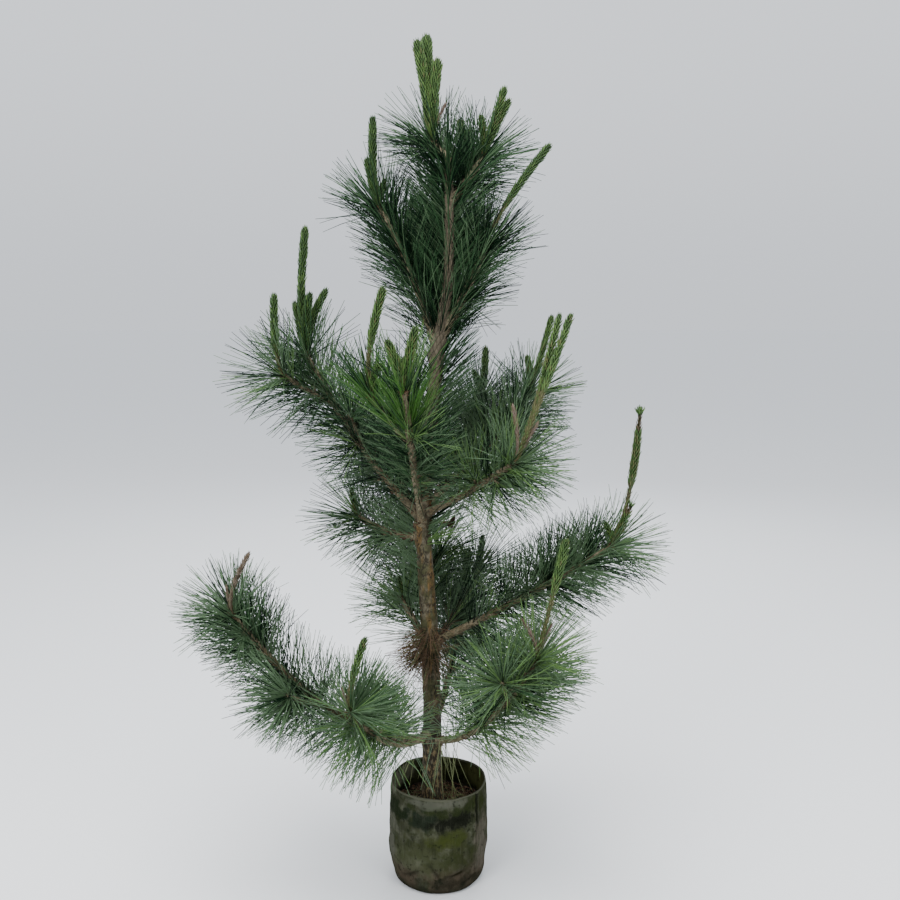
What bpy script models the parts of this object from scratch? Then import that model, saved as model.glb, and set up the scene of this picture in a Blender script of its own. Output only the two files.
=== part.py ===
"""Japanese black pine: a young nursery tree in a grey felt grow bag.

Metres, +Z up. The origin is the middle of the bag's flat underside, +X is to the
viewer's right and +Y points away from the viewer. The trunk leans and tapers from a
flat cut on the potting mix to its tip. Boughs leave it in whorls, one a year, and
each carries one mass: a stem that carries on from the bough, side twigs, long needles
set round them in a spiral, and the new year's upright shoots at the tip.
"""
import math
import random
from dataclasses import dataclass

import bmesh
import bpy
import numpy as np
from mathutils import Matrix, Vector

GAP = 0.0003
GOLDEN_ANGLE = math.radians(137.508)
UP = Vector((0.0, 0.0, 1.0))

# Grow bag
BAG_HEIGHT = 0.212
BAG_RIM_RADIUS = 0.0985
BAG_BELLY_RADIUS = 0.1025
BAG_BELLY_HEIGHT = 0.115
BAG_FOOT_RADIUS = 0.094
BAG_FOOT_ROUNDING = 0.014
BAG_WALL = 0.0032
BAG_SIDES = 24
BAG_FOLDS = 5
BAG_FOLD_DEPTH = 0.011
BAG_FOLD_TWIST = 2.0
BAG_OVAL = 0.6
BAG_OVAL_TURN = 0.7
BAG_COLLAR_HEIGHT = 0.186
BAG_WAIST_HEIGHT = 0.060

# Potting mix
MIX_TOP = 0.160
MIX_EDGE_DROP = 0.005
MIX_FLAT_RADIUS = 0.045
MIX_SIDE_GAP = 0.0006
MIX_LEVELS = (MIX_TOP - MIX_EDGE_DROP, BAG_BELLY_HEIGHT, BAG_WAIST_HEIGHT, BAG_FOOT_ROUNDING)

# Trunk: height, sideways and depth offset of its middle, radius
TRUNK_MARKS = (
    (0.160, -0.014, 0.000, 0.0205),
    (0.380, -0.013, -0.003, 0.0188),
    (0.560, -0.019, -0.005, 0.0176),
    (0.745, -0.031, -0.004, 0.0155),
    (0.920, -0.018, 0.002, 0.0150),
    (1.110, 0.000, 0.006, 0.0142),
    (1.235, 0.021, 0.005, 0.0108),
    (1.350, 0.023, 0.001, 0.0098),
    (1.465, 0.021, 0.000, 0.0070),
)
TRUNK_STEP = 0.075
FLARE = 0.0075
FLARE_HEIGHT = 0.022
FLARE_LOBES = 5
FLARE_LEVELS = (0.0, 0.012, 0.028)
CUT_SNAP = 0.004

# Bough and twig
BOUGH_STEPS = 5
BOUGH_TIP_RADIUS = 0.0058
STEM_TIP_RADIUS = 0.0046
STEM_STEPS = 3
JOINT_STRAIGHT = 0.006
TWIG_ROOT_RADIUS = 0.0042
TWIG_RADIUS = 0.0038
TWIG_FIRST = 0.22
TWIG_NEXT = 0.30
TWIG_LOOSE = 0.12
TWIG_SPREAD = 0.95
TWIG_LIFT = 0.45
TWIG_SHARE = 0.42
TWIG_BARE = 0.028

# Needles, each larger than life in girth and standing for a pair or two
NEEDLE_LENGTH = 0.130
NEEDLE_SHORTEST = 0.84
NEEDLE_RADIUS = 0.0036
NEEDLE_ROOT_SHARE = 0.8
NEEDLE_SPACING = 0.0128
NEEDLE_BASE_SPREAD = 72.0
NEEDLE_TIP_SPREAD = 38.0
NEEDLE_JITTER = 20.0
NEEDLE_DROOP = 0.05
NEEDLE_START = 0.009
CROWN_NEEDLES = 4
CROWN_SPACING = 0.0045
CLEARANCE = 0.0010
BAG_CLEARANCE = 0.006

# New shoots
SHOOT_SINK = 0.002
SHOOT_BEND = 0.3
SHOOT_GIRTH = 0.085
SHOOT_LEAST_GIRTH = 0.0015
SHOOT_STEM_RADIUS = 0.0040
SHOOT_HEAD_RADIUS = 0.0096
SHOOT_TIP_RADIUS = 0.0022
SHOOT_PROFILE = ((0.0, 0.8), (0.86, 1.0), (1.0, 0.1))

# Needles carried by the trunk itself, and the leader on its tip
SLEEVE_FROM = 1.190
SLEEVE_TO = 1.362
SLEEVE_WALL = 0.0026
LEADER_STEM = 0.030
LEADER_LEAN = -1.10

TWIG_SEED = 200
NEEDLE_SEED = 100
SLEEVE_SEED = 77
LEADER_SEED = 78


@dataclass(frozen=True)
class Shoot:
    """A new upright shoot: its length, its lean from upright in degrees to +X and to
    +Y, and the share of its length, from the top, that is clothed and thick."""
    length: float
    lean_x: float = 0.0
    lean_y: float = 0.0
    head: float = 1.0


@dataclass(frozen=True)
class Fork:
    """A second head of a mass: where it leaves the stem, as a share of the stem, how
    far it runs along X, Y and Z, and its new shoots."""
    share: float
    run: tuple
    shoots: tuple


@dataclass(frozen=True)
class Bough:
    """A bough by its height on the trunk, its heading (degrees, 0 is +X, 90 is +Y),
    how far out and how much higher its tip is, how far its middle hangs below the
    straight line, its radius at the trunk, the share of it that is bare, how many
    side twigs its mass has, its new shoots and its forks."""
    name: str
    height: float
    heading: float
    reach: float
    rise: float
    sag: float
    girth: float
    bare: float
    twigs: int
    shoots: tuple
    forks: tuple = ()


BOUGHS = (
    Bough("low_left", 0.300, -165.5, 0.400, 0.303, 0.076, 0.0082, 0.38, 2,
          (Shoot(0.126, 18, -4, 0.45), Shoot(0.058, -8, -3, 0.8))),
    Bough("low_front", 0.316, -121.0, 0.281, 0.144, 0.044, 0.0075, 0.52, 1,
          (Shoot(0.152, 12, -6, 0.4), Shoot(0.055, -14, -10, 0.8))),
    Bough("low_right", 0.298, -45.3, 0.282, 0.249, 0.052, 0.0080, 0.34, 2,
          (Shoot(0.236, 12, -4, 0.45), Shoot(0.087, -20, -6, 0.6), Shoot(0.073, 23, 4, 0.6))),
    Bough("low_back", 0.322, 76.0, 0.285, 0.190, 0.040, 0.0072, 0.36, 1,
          (Shoot(0.125, 6, 10, 0.7), Shoot(0.060, -18, 12, 0.8))),
    Bough("middle_right", 0.505, -7.9, 0.364, 0.219, 0.008, 0.0078, 0.36, 1,
          (Shoot(0.276, 10, -2, 0.55), Shoot(0.094, 23, -6, 0.8), Shoot(0.052, -17, 6, 0.8))),
    Bough("middle_back_left", 0.520, 104.0, 0.240, 0.190, 0.010, 0.0066, 0.22, 1,
          (Shoot(0.090, -6, 12, 0.8), Shoot(0.055, 14, 6, 0.8))),
    Bough("middle_back_right", 0.488, 64.0, 0.240, 0.120, 0.010, 0.0066, 0.24, 1,
          (Shoot(0.075, 8, 14, 0.8),)),
    Bough("middle_left", 0.498, 156.0, 0.064, 0.096, 0.004, 0.0060, 0.52, 0,
          (Shoot(0.050, -6, 4, 0.9),)),
    Bough("upper_left", 0.765, -167.4, 0.228, 0.335, 0.028, 0.0080, 0.24, 1,
          (Shoot(0.240, 1, -2, 1.0), Shoot(0.104, -12, 5, 1.0), Shoot(0.120, 6, -9, 1.0),
           Shoot(0.132, 18, 3, 1.0)),
          (Fork(0.66, (-0.088, -0.070, 0.062), (Shoot(0.150, -4, -4, 0.75),)),)),
    Bough("upper_front", 0.750, -95.0, 0.271, 0.295, 0.010, 0.0080, 0.26, 0,
          (Shoot(0.097, -17, -14, 0.9), Shoot(0.115, 11, -7, 0.9), Shoot(0.060, -3, 16, 0.9)),
          (Fork(0.55, (-0.072, 0.010, 0.086), (Shoot(0.173, 6, -3, 0.55), Shoot(0.068, 14, -12, 0.9))),)),
    Bough("upper_right", 0.776, -42.9, 0.235, 0.130, 0.005, 0.0074, 0.44, 1,
          (Shoot(0.289, 20, -1, 0.42), Shoot(0.284, 16.5, 3, 0.42), Shoot(0.112, -3, -8, 0.5),
           Shoot(0.090, 28, -8, 0.6))),
    Bough("upper_back_right", 0.786, 26.0, 0.244, 0.227, 0.008, 0.0068, 0.28, 1,
          (Shoot(0.168, 16, 4, 0.8), Shoot(0.080, -4, 12, 0.9))),
    Bough("upper_back", 0.768, 63.0, 0.273, 0.219, 0.010, 0.0068, 0.28, 1,
          (Shoot(0.120, 5, 12, 0.9), Shoot(0.070, -16, 6, 0.9))),
    Bough("upper_back_left", 0.752, 112.0, 0.262, 0.165, 0.015, 0.0068, 0.26, 1,
          (Shoot(0.110, -8, 10, 0.9), Shoot(0.065, 12, 8, 0.9))),
    Bough("upper_left_low", 0.732, 158.0, 0.150, 0.030, 0.014, 0.0064, 0.26, 0,
          (Shoot(0.060, -12, 6, 0.9),)),
    Bough("crown_left", 1.100, 180.0, 0.114, 0.278, -0.030, 0.0066, 0.22, 1,
          (Shoot(0.173, -3, -1, 1.0), Shoot(0.097, -13, -5, 1.0), Shoot(0.059, 13, 5, 1.0))),
    Bough("crown_right", 1.120, -8.0, 0.092, 0.180, 0.006, 0.0064, 0.34, 0,
          (Shoot(0.232, 32, -2, 0.62),)),
    Bough("crown_back", 1.116, 92.0, 0.170, 0.240, -0.010, 0.0062, 0.22, 1,
          (Shoot(0.130, -4, 12, 1.0), Shoot(0.070, 14, 8, 1.0))),
    Bough("top_right", 1.390, 20.0, 0.070, 0.086, 0.004, 0.0062, 0.34, 0,
          (Shoot(0.122, 17, -6, 1.0), Shoot(0.112, 26, 4, 1.0), Shoot(0.066, -3, -9, 1.0))),
    Bough("top_back", 1.380, 70.0, 0.095, 0.090, 0.006, 0.0062, 0.30, 0,
          (Shoot(0.082, -7, 8, 1.0), Shoot(0.062, 8, 14, 1.0))),
)

LEADER_SHOOTS = (
    Shoot(0.190, -6.5, -3, 1.0),
    Shoot(0.204, -1.5, 4, 1.0),
    Shoot(0.154, 4.5, -6, 1.0),
    Shoot(0.085, 20, 9, 1.0),
)


def clear_scene():
    """Remove the objects that a new file starts with."""
    for old in list(bpy.data.objects):
        bpy.data.objects.remove(old)


def make_collection(name):
    """A new collection under the scene."""
    made = bpy.data.collections.new(name)
    bpy.context.scene.collection.children.link(made)
    return made


def make_material(name, colour, roughness):
    """A Principled material of one colour."""
    made = bpy.data.materials.new(name)
    made.use_nodes = True
    shader = made.node_tree.nodes["Principled BSDF"]
    shader.inputs["Base Color"].default_value = (*colour, 1.0)
    shader.inputs["Roughness"].default_value = roughness
    made.diffuse_color = (*colour, 1.0)
    return made


def object_from_bmesh(name, shape, collection):
    """Put a bmesh into a new object with its faces turned outwards."""
    bmesh.ops.recalc_face_normals(shape, faces=shape.faces[:])
    mesh = bpy.data.meshes.new(name)
    shape.to_mesh(mesh)
    shape.free()
    made = bpy.data.objects.new(name, mesh)
    collection.objects.link(made)
    return made


def tube(name, points, radii, resolution, collection):
    """A round limb along points, with a radius at each, as a closed mesh."""
    curve = bpy.data.curves.new(name, "CURVE")
    curve.dimensions = "3D"
    curve.bevel_depth = 1.0
    curve.bevel_resolution = resolution
    curve.use_fill_caps = True
    line = curve.splines.new("POLY")
    line.points.add(len(points) - 1)
    for knot, point, radius in zip(line.points, points, radii):
        knot.co = (*point, 1.0)
        knot.radius = radius
    guide = bpy.data.objects.new(name + "_line", curve)
    collection.objects.link(guide)
    graph = bpy.context.evaluated_depsgraph_get()
    shape = bmesh.new()
    shape.from_mesh(bpy.data.meshes.new_from_object(guide.evaluated_get(graph)))
    bmesh.ops.remove_doubles(shape, verts=shape.verts[:], dist=1e-6)
    bpy.data.objects.remove(guide)
    return object_from_bmesh(name, shape, collection)


def spike(name, root, tip, radius, collection):
    """One needle: a slim three-sided cone from root to tip."""
    along = tip - root
    place = Matrix.Translation((root + tip) / 2) @ along.to_track_quat("Z", "Y").to_matrix().to_4x4()
    shape = bmesh.new()
    bmesh.ops.create_cone(shape, cap_ends=True, segments=3, radius1=radius, radius2=0.0,
                          depth=along.length, matrix=place)
    return object_from_bmesh(name, shape, collection)


def bake(target, modifier):
    """Turn a modifier's result into the object's own mesh."""
    graph = bpy.context.evaluated_depsgraph_get()
    result = bpy.data.meshes.new_from_object(target.evaluated_get(graph))
    target.modifiers.remove(modifier)
    target.data = result


def cut_clear(target, cutter):
    """Cut one solid out of another."""
    cut = target.modifiers.new("clear of limb", "BOOLEAN")
    cut.operation = "DIFFERENCE"
    cut.solver = "EXACT"
    cut.object = cutter
    bake(target, cut)


def fuse(target, pieces):
    """Join a collection's pieces to the target, then remove the pieces."""
    join = target.modifiers.new("fuse", "BOOLEAN")
    join.operation = "UNION"
    join.operand_type = "COLLECTION"
    join.solver = "EXACT"
    join.collection = pieces
    bake(target, join)
    for piece in list(pieces.objects):
        bpy.data.objects.remove(piece)
    bpy.data.collections.remove(pieces)


def shell_of(seed, seen):
    """The vertices joined to a seed vertex."""
    found = []
    waiting = [seed]
    while waiting:
        vertex = waiting.pop()
        if vertex in seen:
            continue
        seen.add(vertex)
        found.append(vertex)
        waiting.extend(edge.other_vert(vertex) for edge in vertex.link_edges)
    return found


def keep_main_shell(target):
    """Drop loose scraps and fill sealed hollows: only the widest shell stays."""
    shape = bmesh.new()
    shape.from_mesh(target.data)
    seen = set()
    shells = [shell_of(vertex, seen) for vertex in shape.verts if vertex not in seen]
    shells.sort(key=len)
    for scrap in shells[:-1]:
        bmesh.ops.delete(shape, geom=scrap, context="VERTS")
    shape.to_mesh(target.data)
    shape.free()


def finish(target, material, sharp_degrees=40.0):
    """Give the object its material and smooth shading with sharp edges kept."""
    target.data.materials.clear()
    target.data.materials.append(material)
    target.data.shade_smooth()
    target.data.set_sharp_from_angle(angle=math.radians(sharp_degrees))


def bezier(start, middle, end, share):
    """A point on a quadratic curve."""
    back = 1.0 - share
    return start * (back * back) + middle * (2.0 * back * share) + end * (share * share)


def trunk_at(height):
    """The trunk's middle at a height."""
    heights, across, depth, _ = zip(*TRUNK_MARKS)
    return Vector((float(np.interp(height, heights, across)),
                   float(np.interp(height, heights, depth)), height))


def trunk_radius(height):
    """The trunk's radius at a height, without its flare."""
    heights, _, _, radii = zip(*TRUNK_MARKS)
    return float(np.interp(height, heights, radii))


class Clearance:
    """Round bars already in place, each with an owner, to keep others off them."""

    def __init__(self):
        self.owners = []
        self.starts = []
        self.ends = []
        self.radii = []

    def add(self, owner, start, end, radius):
        """Remember one bar."""
        self.owners.append(owner)
        self.starts.append(tuple(start))
        self.ends.append(tuple(end))
        self.radii.append(radius)

    def add_line(self, owner, points, radii):
        """Remember the bars along a limb."""
        for start, end, radius in zip(points, points[1:], radii):
            self.add(owner, start, end, radius)

    def is_free(self, owner, start, end, radius, ignored=()):
        """Whether a new bar keeps clear of every other owner's bars."""
        others = np.array([name != owner and name not in ignored for name in self.owners])
        if not others.any():
            return True
        gaps = segment_gaps(np.array(start), np.array(end),
                            np.array(self.starts)[others], np.array(self.ends)[others])
        return bool((gaps > np.array(self.radii)[others] + radius + CLEARANCE).all())


def segment_gaps(start, end, starts, ends):
    """Shortest distances from one segment to many, by sliding both ends in turn."""
    own = end - start
    theirs = ends - starts
    offset = start - starts
    own_square = own @ own
    their_square = np.maximum((theirs * theirs).sum(1), 1e-12)
    mixed = theirs @ own
    own_offset = offset @ own
    their_offset = (theirs * offset).sum(1)
    spread = np.maximum(own_square * their_square - mixed * mixed, 1e-15)
    here = np.clip((mixed * their_offset - own_offset * their_square) / spread, 0.0, 1.0)
    there = np.clip((mixed * here + their_offset) / their_square, 0.0, 1.0)
    here = np.clip((mixed * there - own_offset) / own_square, 0.0, 1.0)
    apart = offset + here[:, None] * own - there[:, None] * theirs
    return np.sqrt((apart * apart).sum(1))


def bough_curve(bough):
    """A bough's three curve points, from the trunk's middle to its tip."""
    root = trunk_at(bough.height)
    heading = math.radians(bough.heading)
    out = Vector((math.cos(heading), math.sin(heading), 0.0))
    tip = root + out * bough.reach + UP * bough.rise
    middle = (root + tip) / 2 - UP * (2.0 * bough.sag)
    return root, middle, tip


def points_on(curve, first, last, steps):
    """Evenly shared points on a curve between two shares of it."""
    return [bezier(*curve, first + (last - first) * step / steps) for step in range(steps + 1)]


def tangent_on(curve, share):
    """The direction of a quadratic curve at a share of it."""
    start, middle, end = curve
    return ((middle - start) * (1.0 - share) + (end - middle) * share).normalized()


def bough_points(bough):
    """The bare part of a bough, with a short straight end where its mass begins."""
    curve = bough_curve(bough)
    points = points_on(curve, 0.0, bough.bare, BOUGH_STEPS)
    points.insert(-1, points[-1] - tangent_on(curve, bough.bare) * JOINT_STRAIGHT)
    return points


def stem_points(bough):
    """A mass's stem, which carries on from its bough past a fine gap."""
    curve = bough_curve(bough)
    along = tangent_on(curve, bough.bare)
    points = points_on(curve, bough.bare, 1.0, STEM_STEPS)
    points.insert(1, points[0] + along * JOINT_STRAIGHT)
    points[0] += along * GAP
    return points


def taper(first, last, count):
    """Radii that fall evenly from first to last."""
    return [first + (last - first) * step / (count - 1) for step in range(count)]


def turned(direction, spread, turn):
    """A direction leant off another by spread, turned round it by turn."""
    side = direction.orthogonal().normalized()
    other = direction.cross(side)
    away = side * math.cos(turn) + other * math.sin(turn)
    return (direction * math.cos(spread) + away * math.sin(spread)).normalized()


def shoot_line(shoot, root, along):
    """A shoot's points and radii: it leaves along its stem and turns upright."""
    lean = Vector((math.tan(math.radians(shoot.lean_x)),
                   math.tan(math.radians(shoot.lean_y)), 1.0)).normalized()
    tip = root + lean * shoot.length
    bend = root + (along + UP).normalized() * (SHOOT_BEND * shoot.length)
    bare = 1.0 - shoot.head
    head_radius = min(SHOOT_HEAD_RADIUS, SHOOT_GIRTH * shoot.length + SHOOT_LEAST_GIRTH)
    shares = [0.0] if bare > 0.0 else []
    radii = [SHOOT_STEM_RADIUS] if bare > 0.0 else []
    for place, thickness in SHOOT_PROFILE:
        shares.append(bare + place * shoot.head)
        radii.append(SHOOT_TIP_RADIUS + (head_radius - SHOOT_TIP_RADIUS) * thickness)
    if bare > 0.0:
        radii[1] = SHOOT_STEM_RADIUS
    return [bezier(root, bend, tip, share) for share in shares], radii


@dataclass
class Mass:
    """A mass of foliage: named limbs as point and radius lists, and its needles."""
    name: str
    limbs: list
    needles: list


def run_length(points):
    """The length of a run of points."""
    return sum((end - start).length for start, end in zip(points, points[1:]))


def point_along(points, share):
    """The point and the direction at a share of the length of a run of points."""
    left = share * run_length(points)
    for start, end in zip(points, points[1:]):
        length = (end - start).length
        if left <= length:
            return start.lerp(end, left / length), (end - start).normalized()
        left -= length
    return points[-1].copy(), (points[-1] - points[-2]).normalized()


def needle_candidates(points, stem_radius, chooser, bare, crown=CROWN_NEEDLES):
    """Needles set in a spiral along a stem past its bare start, more forward towards
    its tip, which has a crown of its own. Each is its root, its tip and its radius."""
    whole = run_length(points)
    count = max(1, int((whole - bare) / NEEDLE_SPACING))
    first_turn = chooser.uniform(0.0, math.tau)
    radius = min(NEEDLE_RADIUS, NEEDLE_ROOT_SHARE * stem_radius)
    found = []
    for place in range(count + crown):
        if place < count:
            share = (bare + place * NEEDLE_SPACING) / whole
        else:
            share = 1.0 - (place - count + 0.5) * CROWN_SPACING / whole
        root, along = point_along(points, share)
        spread = NEEDLE_BASE_SPREAD + (NEEDLE_TIP_SPREAD - NEEDLE_BASE_SPREAD) * share
        spread += chooser.uniform(-NEEDLE_JITTER, NEEDLE_JITTER)
        aim = turned(along, math.radians(spread), first_turn + place * GOLDEN_ANGLE)
        aim = (aim - UP * NEEDLE_DROOP).normalized()
        length = NEEDLE_LENGTH * chooser.uniform(NEEDLE_SHORTEST, 1.0)
        found.append((root, root + aim * length, radius))
    return found


def bough_mass(bough, number):
    """The mass that carries on from a bough: stem, side twigs, shoots and needles."""
    placer = random.Random(TWIG_SEED + number)
    chooser = random.Random(NEEDLE_SEED + number)
    stem = stem_points(bough)
    limbs = [(stem, taper(BOUGH_TIP_RADIUS, STEM_TIP_RADIUS, len(stem)))]
    needles = needle_candidates(stem, STEM_TIP_RADIUS, chooser, NEEDLE_START)
    stem_length = run_length(stem)
    side = 1.0 if number % 2 else -1.0
    for twig in range(bough.twigs):
        share = TWIG_FIRST + TWIG_NEXT * twig + placer.uniform(0.0, TWIG_LOOSE)
        knot, along = point_along(stem, share)
        level = along.cross(UP).normalized() * side
        side = -side
        aim = along + level * TWIG_SPREAD + UP * placer.uniform(0.0, TWIG_LIFT)
        tip = knot + aim.normalized() * (stem_length * TWIG_SHARE)
        limbs.append(([knot, tip], [TWIG_ROOT_RADIUS, TWIG_RADIUS]))
        needles += needle_candidates([knot, tip], TWIG_RADIUS, chooser, TWIG_BARE)
    heads = [(stem, bough.shoots)]
    for fork in bough.forks:
        knot = point_along(stem, fork.share)[0]
        tip = knot + Vector(fork.run)
        limbs.append(([knot, tip], [STEM_TIP_RADIUS, STEM_TIP_RADIUS]))
        needles += needle_candidates([knot, tip], STEM_TIP_RADIUS, chooser, TWIG_BARE)
        heads.append(([knot, tip], fork.shoots))
    for line, shoots in heads:
        along = (line[-1] - line[-2]).normalized()
        limbs += [shoot_line(shoot, line[-1] - along * SHOOT_SINK, along) for shoot in shoots]
    return Mass(bough.name + "_needles", limbs, needles)


def sleeve_mass():
    """Needles carried by the trunk itself, on a sleeve that is later cut clear of it."""
    chooser = random.Random(SLEEVE_SEED)
    rise = (SLEEVE_TO - SLEEVE_FROM) / STEM_STEPS
    heights = [SLEEVE_FROM + rise * step for step in range(STEM_STEPS + 1)]
    stem = [trunk_at(height) for height in heights]
    radii = [trunk_radius(height) + GAP + SLEEVE_WALL for height in heights]
    needles = needle_candidates(stem, radii[0], chooser, NEEDLE_START, 0)
    return Mass("trunk_needles", [(stem, radii)], needles)


def leader_mass():
    """The leader: a short stem on the trunk's tip with upright shoots and needles."""
    chooser = random.Random(LEADER_SEED)
    foot = trunk_at(TRUNK_MARKS[-1][0]) + UP * GAP
    knee = foot + UP * JOINT_STRAIGHT
    stem = [foot, knee, knee + Vector((LEADER_LEAN, 0.0, 1.0)) * LEADER_STEM]
    limbs = [(stem, taper(TRUNK_MARKS[-1][3], BOUGH_TIP_RADIUS, len(stem)))]
    for shoot in LEADER_SHOOTS:
        limbs.append(shoot_line(shoot, stem[-1] - UP * (2 * SHOOT_SINK), UP))
    needles = needle_candidates(stem, BOUGH_TIP_RADIUS, chooser, NEEDLE_START)
    needles += needle_candidates(stem, BOUGH_TIP_RADIUS, chooser, 2 * NEEDLE_START)
    return Mass("leader_needles", limbs, needles)


def drop_blocked_needles(masses, clearance):
    """Take needles in turn from every mass and skip each that would touch another."""
    rounds = max(len(mass.needles) for mass in masses)
    kept = {mass.name: [] for mass in masses}
    for place in range(rounds):
        for mass in masses:
            if place >= len(mass.needles):
                continue
            root, tip, radius = mass.needles[place]
            if min(root.z, tip.z) < BAG_HEIGHT + BAG_CLEARANCE:
                continue
            ignored = ("trunk",) if mass.name == "trunk_needles" else ()
            middle = (root + tip) / 2
            halves = ((root, middle, radius), (middle, tip, radius / 2))
            if all(clearance.is_free(mass.name, *half, ignored) for half in halves):
                for half in halves:
                    clearance.add(mass.name, *half)
                kept[mass.name].append((root, tip, radius))
    for mass in masses:
        mass.needles = kept[mass.name]


def build_mass(mass, material, parts, trunk_cutter):
    """Fuse a mass's limbs and needles into one solid, clear of the trunk."""
    pieces = make_collection(mass.name + "_pieces")
    points, radii = mass.limbs[0]
    body = tube(mass.name, points, radii, 1, parts)
    for number, (points, radii) in enumerate(mass.limbs[1:]):
        tube(f"{mass.name}_limb_{number}", points, radii, 1, pieces)
    for number, (root, tip, radius) in enumerate(mass.needles):
        spike(f"{mass.name}_needle_{number}", root, tip, radius, pieces)
    fuse(body, pieces)
    if mass.name == "trunk_needles":
        cut_clear(body, trunk_cutter)
    keep_main_shell(body)
    finish(body, material, 30.0)


def trunk_shape(name, extra, collection):
    """The trunk with its lobed flare, grown outwards by extra all round."""
    foot = TRUNK_MARKS[0][0]
    top = TRUNK_MARKS[-1][0]
    count = round((top - foot) / TRUNK_STEP)
    heights = [foot + level for level in FLARE_LEVELS]
    heights += [foot + (top - foot) * step / count for step in range(1, count + 1)]
    radii = [trunk_radius(height) + extra for height in heights]
    points = [trunk_at(height) for height in heights]
    body = tube(name, points, radii, 4, collection)
    for vertex in body.data.vertices:
        for level in (foot, top):
            if abs(vertex.co.z - level) < CUT_SNAP:
                vertex.co.z = level
        middle = trunk_at(vertex.co.z)
        off = Vector((vertex.co.x - middle.x, vertex.co.y - middle.y, 0.0))
        fall = math.exp(-(vertex.co.z - foot) / FLARE_HEIGHT)
        lobe = 0.7 + 0.3 * math.cos(FLARE_LOBES * math.atan2(off.y, off.x))
        vertex.co += off.normalized() * (FLARE * fall * lobe)
    return body


def build_bough(bough, material, parts, trunk_cutter):
    """One tapering limb, from the trunk's surface to where its mass begins."""
    points = bough_points(bough)
    radii = taper(bough.girth, BOUGH_TIP_RADIUS, len(points))
    body = tube(bough.name + "_bough", points, radii, 1, parts)
    cut_clear(body, trunk_cutter)
    keep_main_shell(body)
    finish(body, material)


def bag_fold(x, y, z):
    """How much the soft bag swells or dips at a place, as a share of its radius."""
    angle = math.atan2(y, x)
    rise = max(0.0, z) / BAG_HEIGHT
    lobes = math.cos(BAG_FOLDS * angle + BAG_FOLD_TWIST * rise)
    lobes += BAG_OVAL * math.cos(2.0 * angle + BAG_OVAL_TURN)
    return 1.0 + BAG_FOLD_DEPTH * lobes * math.sin(math.pi * (0.15 + 0.75 * rise))


def turned_solid(name, profile, collection):
    """Turn a closed profile round the Z axis and give it the bag's soft folds."""
    shape = bmesh.new()
    line = [shape.verts.new((radius, 0.0, height)) for radius, height in profile]
    for start, end in zip(line, line[1:]):
        shape.edges.new((start, end))
    mesh = bpy.data.meshes.new(name)
    shape.to_mesh(mesh)
    shape.free()
    body = bpy.data.objects.new(name, mesh)
    collection.objects.link(body)
    screw = body.modifiers.new("turn", "SCREW")
    screw.steps = BAG_SIDES
    screw.render_steps = BAG_SIDES
    screw.use_merge_vertices = True
    screw.merge_threshold = 0.00001
    bake(body, screw)
    for vertex in body.data.vertices:
        swell = bag_fold(*vertex.co)
        vertex.co.x *= swell
        vertex.co.y *= swell
    return body


def bag_outside(height):
    """The bag's outer radius at a height, without its folds."""
    if height < BAG_FOOT_ROUNDING:
        drop = 1.0 - height / BAG_FOOT_ROUNDING
        return BAG_FOOT_RADIUS - BAG_FOOT_ROUNDING * (1.0 - math.sqrt(1.0 - drop * drop))
    if height < BAG_BELLY_HEIGHT:
        share = (height - BAG_FOOT_ROUNDING) / (BAG_BELLY_HEIGHT - BAG_FOOT_ROUNDING)
        return BAG_FOOT_RADIUS + (BAG_BELLY_RADIUS - BAG_FOOT_RADIUS) * math.sin(share * math.pi / 2)
    share = (height - BAG_BELLY_HEIGHT) / (BAG_HEIGHT - BAG_BELLY_HEIGHT)
    return BAG_BELLY_RADIUS + (BAG_RIM_RADIUS - BAG_BELLY_RADIUS) * share * share


def build_bag(material, parts):
    """The felt bag: a flat underside, a rounded foot and a soft open wall."""
    levels = (BAG_COLLAR_HEIGHT, *MIX_LEVELS)
    outside = (*levels, 0.004, 0.0)
    profile = [(0.0, BAG_WALL), (BAG_FOOT_RADIUS - BAG_FOOT_ROUNDING, BAG_WALL)]
    profile += [(bag_outside(height) - BAG_WALL, height) for height in reversed(levels)]
    profile += [(BAG_RIM_RADIUS - BAG_WALL, BAG_HEIGHT), (BAG_RIM_RADIUS, BAG_HEIGHT)]
    profile += [(bag_outside(height), height) for height in outside]
    profile.append((0.0, 0.0))
    finish(turned_solid("grow_bag", profile, parts), material, 50.0)


def build_mix(material, parts):
    """The potting mix that fills the bag to just under the trunk's flat foot."""
    floor = BAG_WALL + GAP
    profile = [(0.0, MIX_TOP - GAP), (MIX_FLAT_RADIUS, MIX_TOP - GAP)]
    profile += [(bag_outside(height) - BAG_WALL - MIX_SIDE_GAP, height) for height in MIX_LEVELS]
    profile += [(BAG_FOOT_RADIUS - BAG_FOOT_ROUNDING - MIX_SIDE_GAP, floor), (0.0, floor)]
    finish(turned_solid("potting_mix", profile, parts), material, 30.0)


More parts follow.
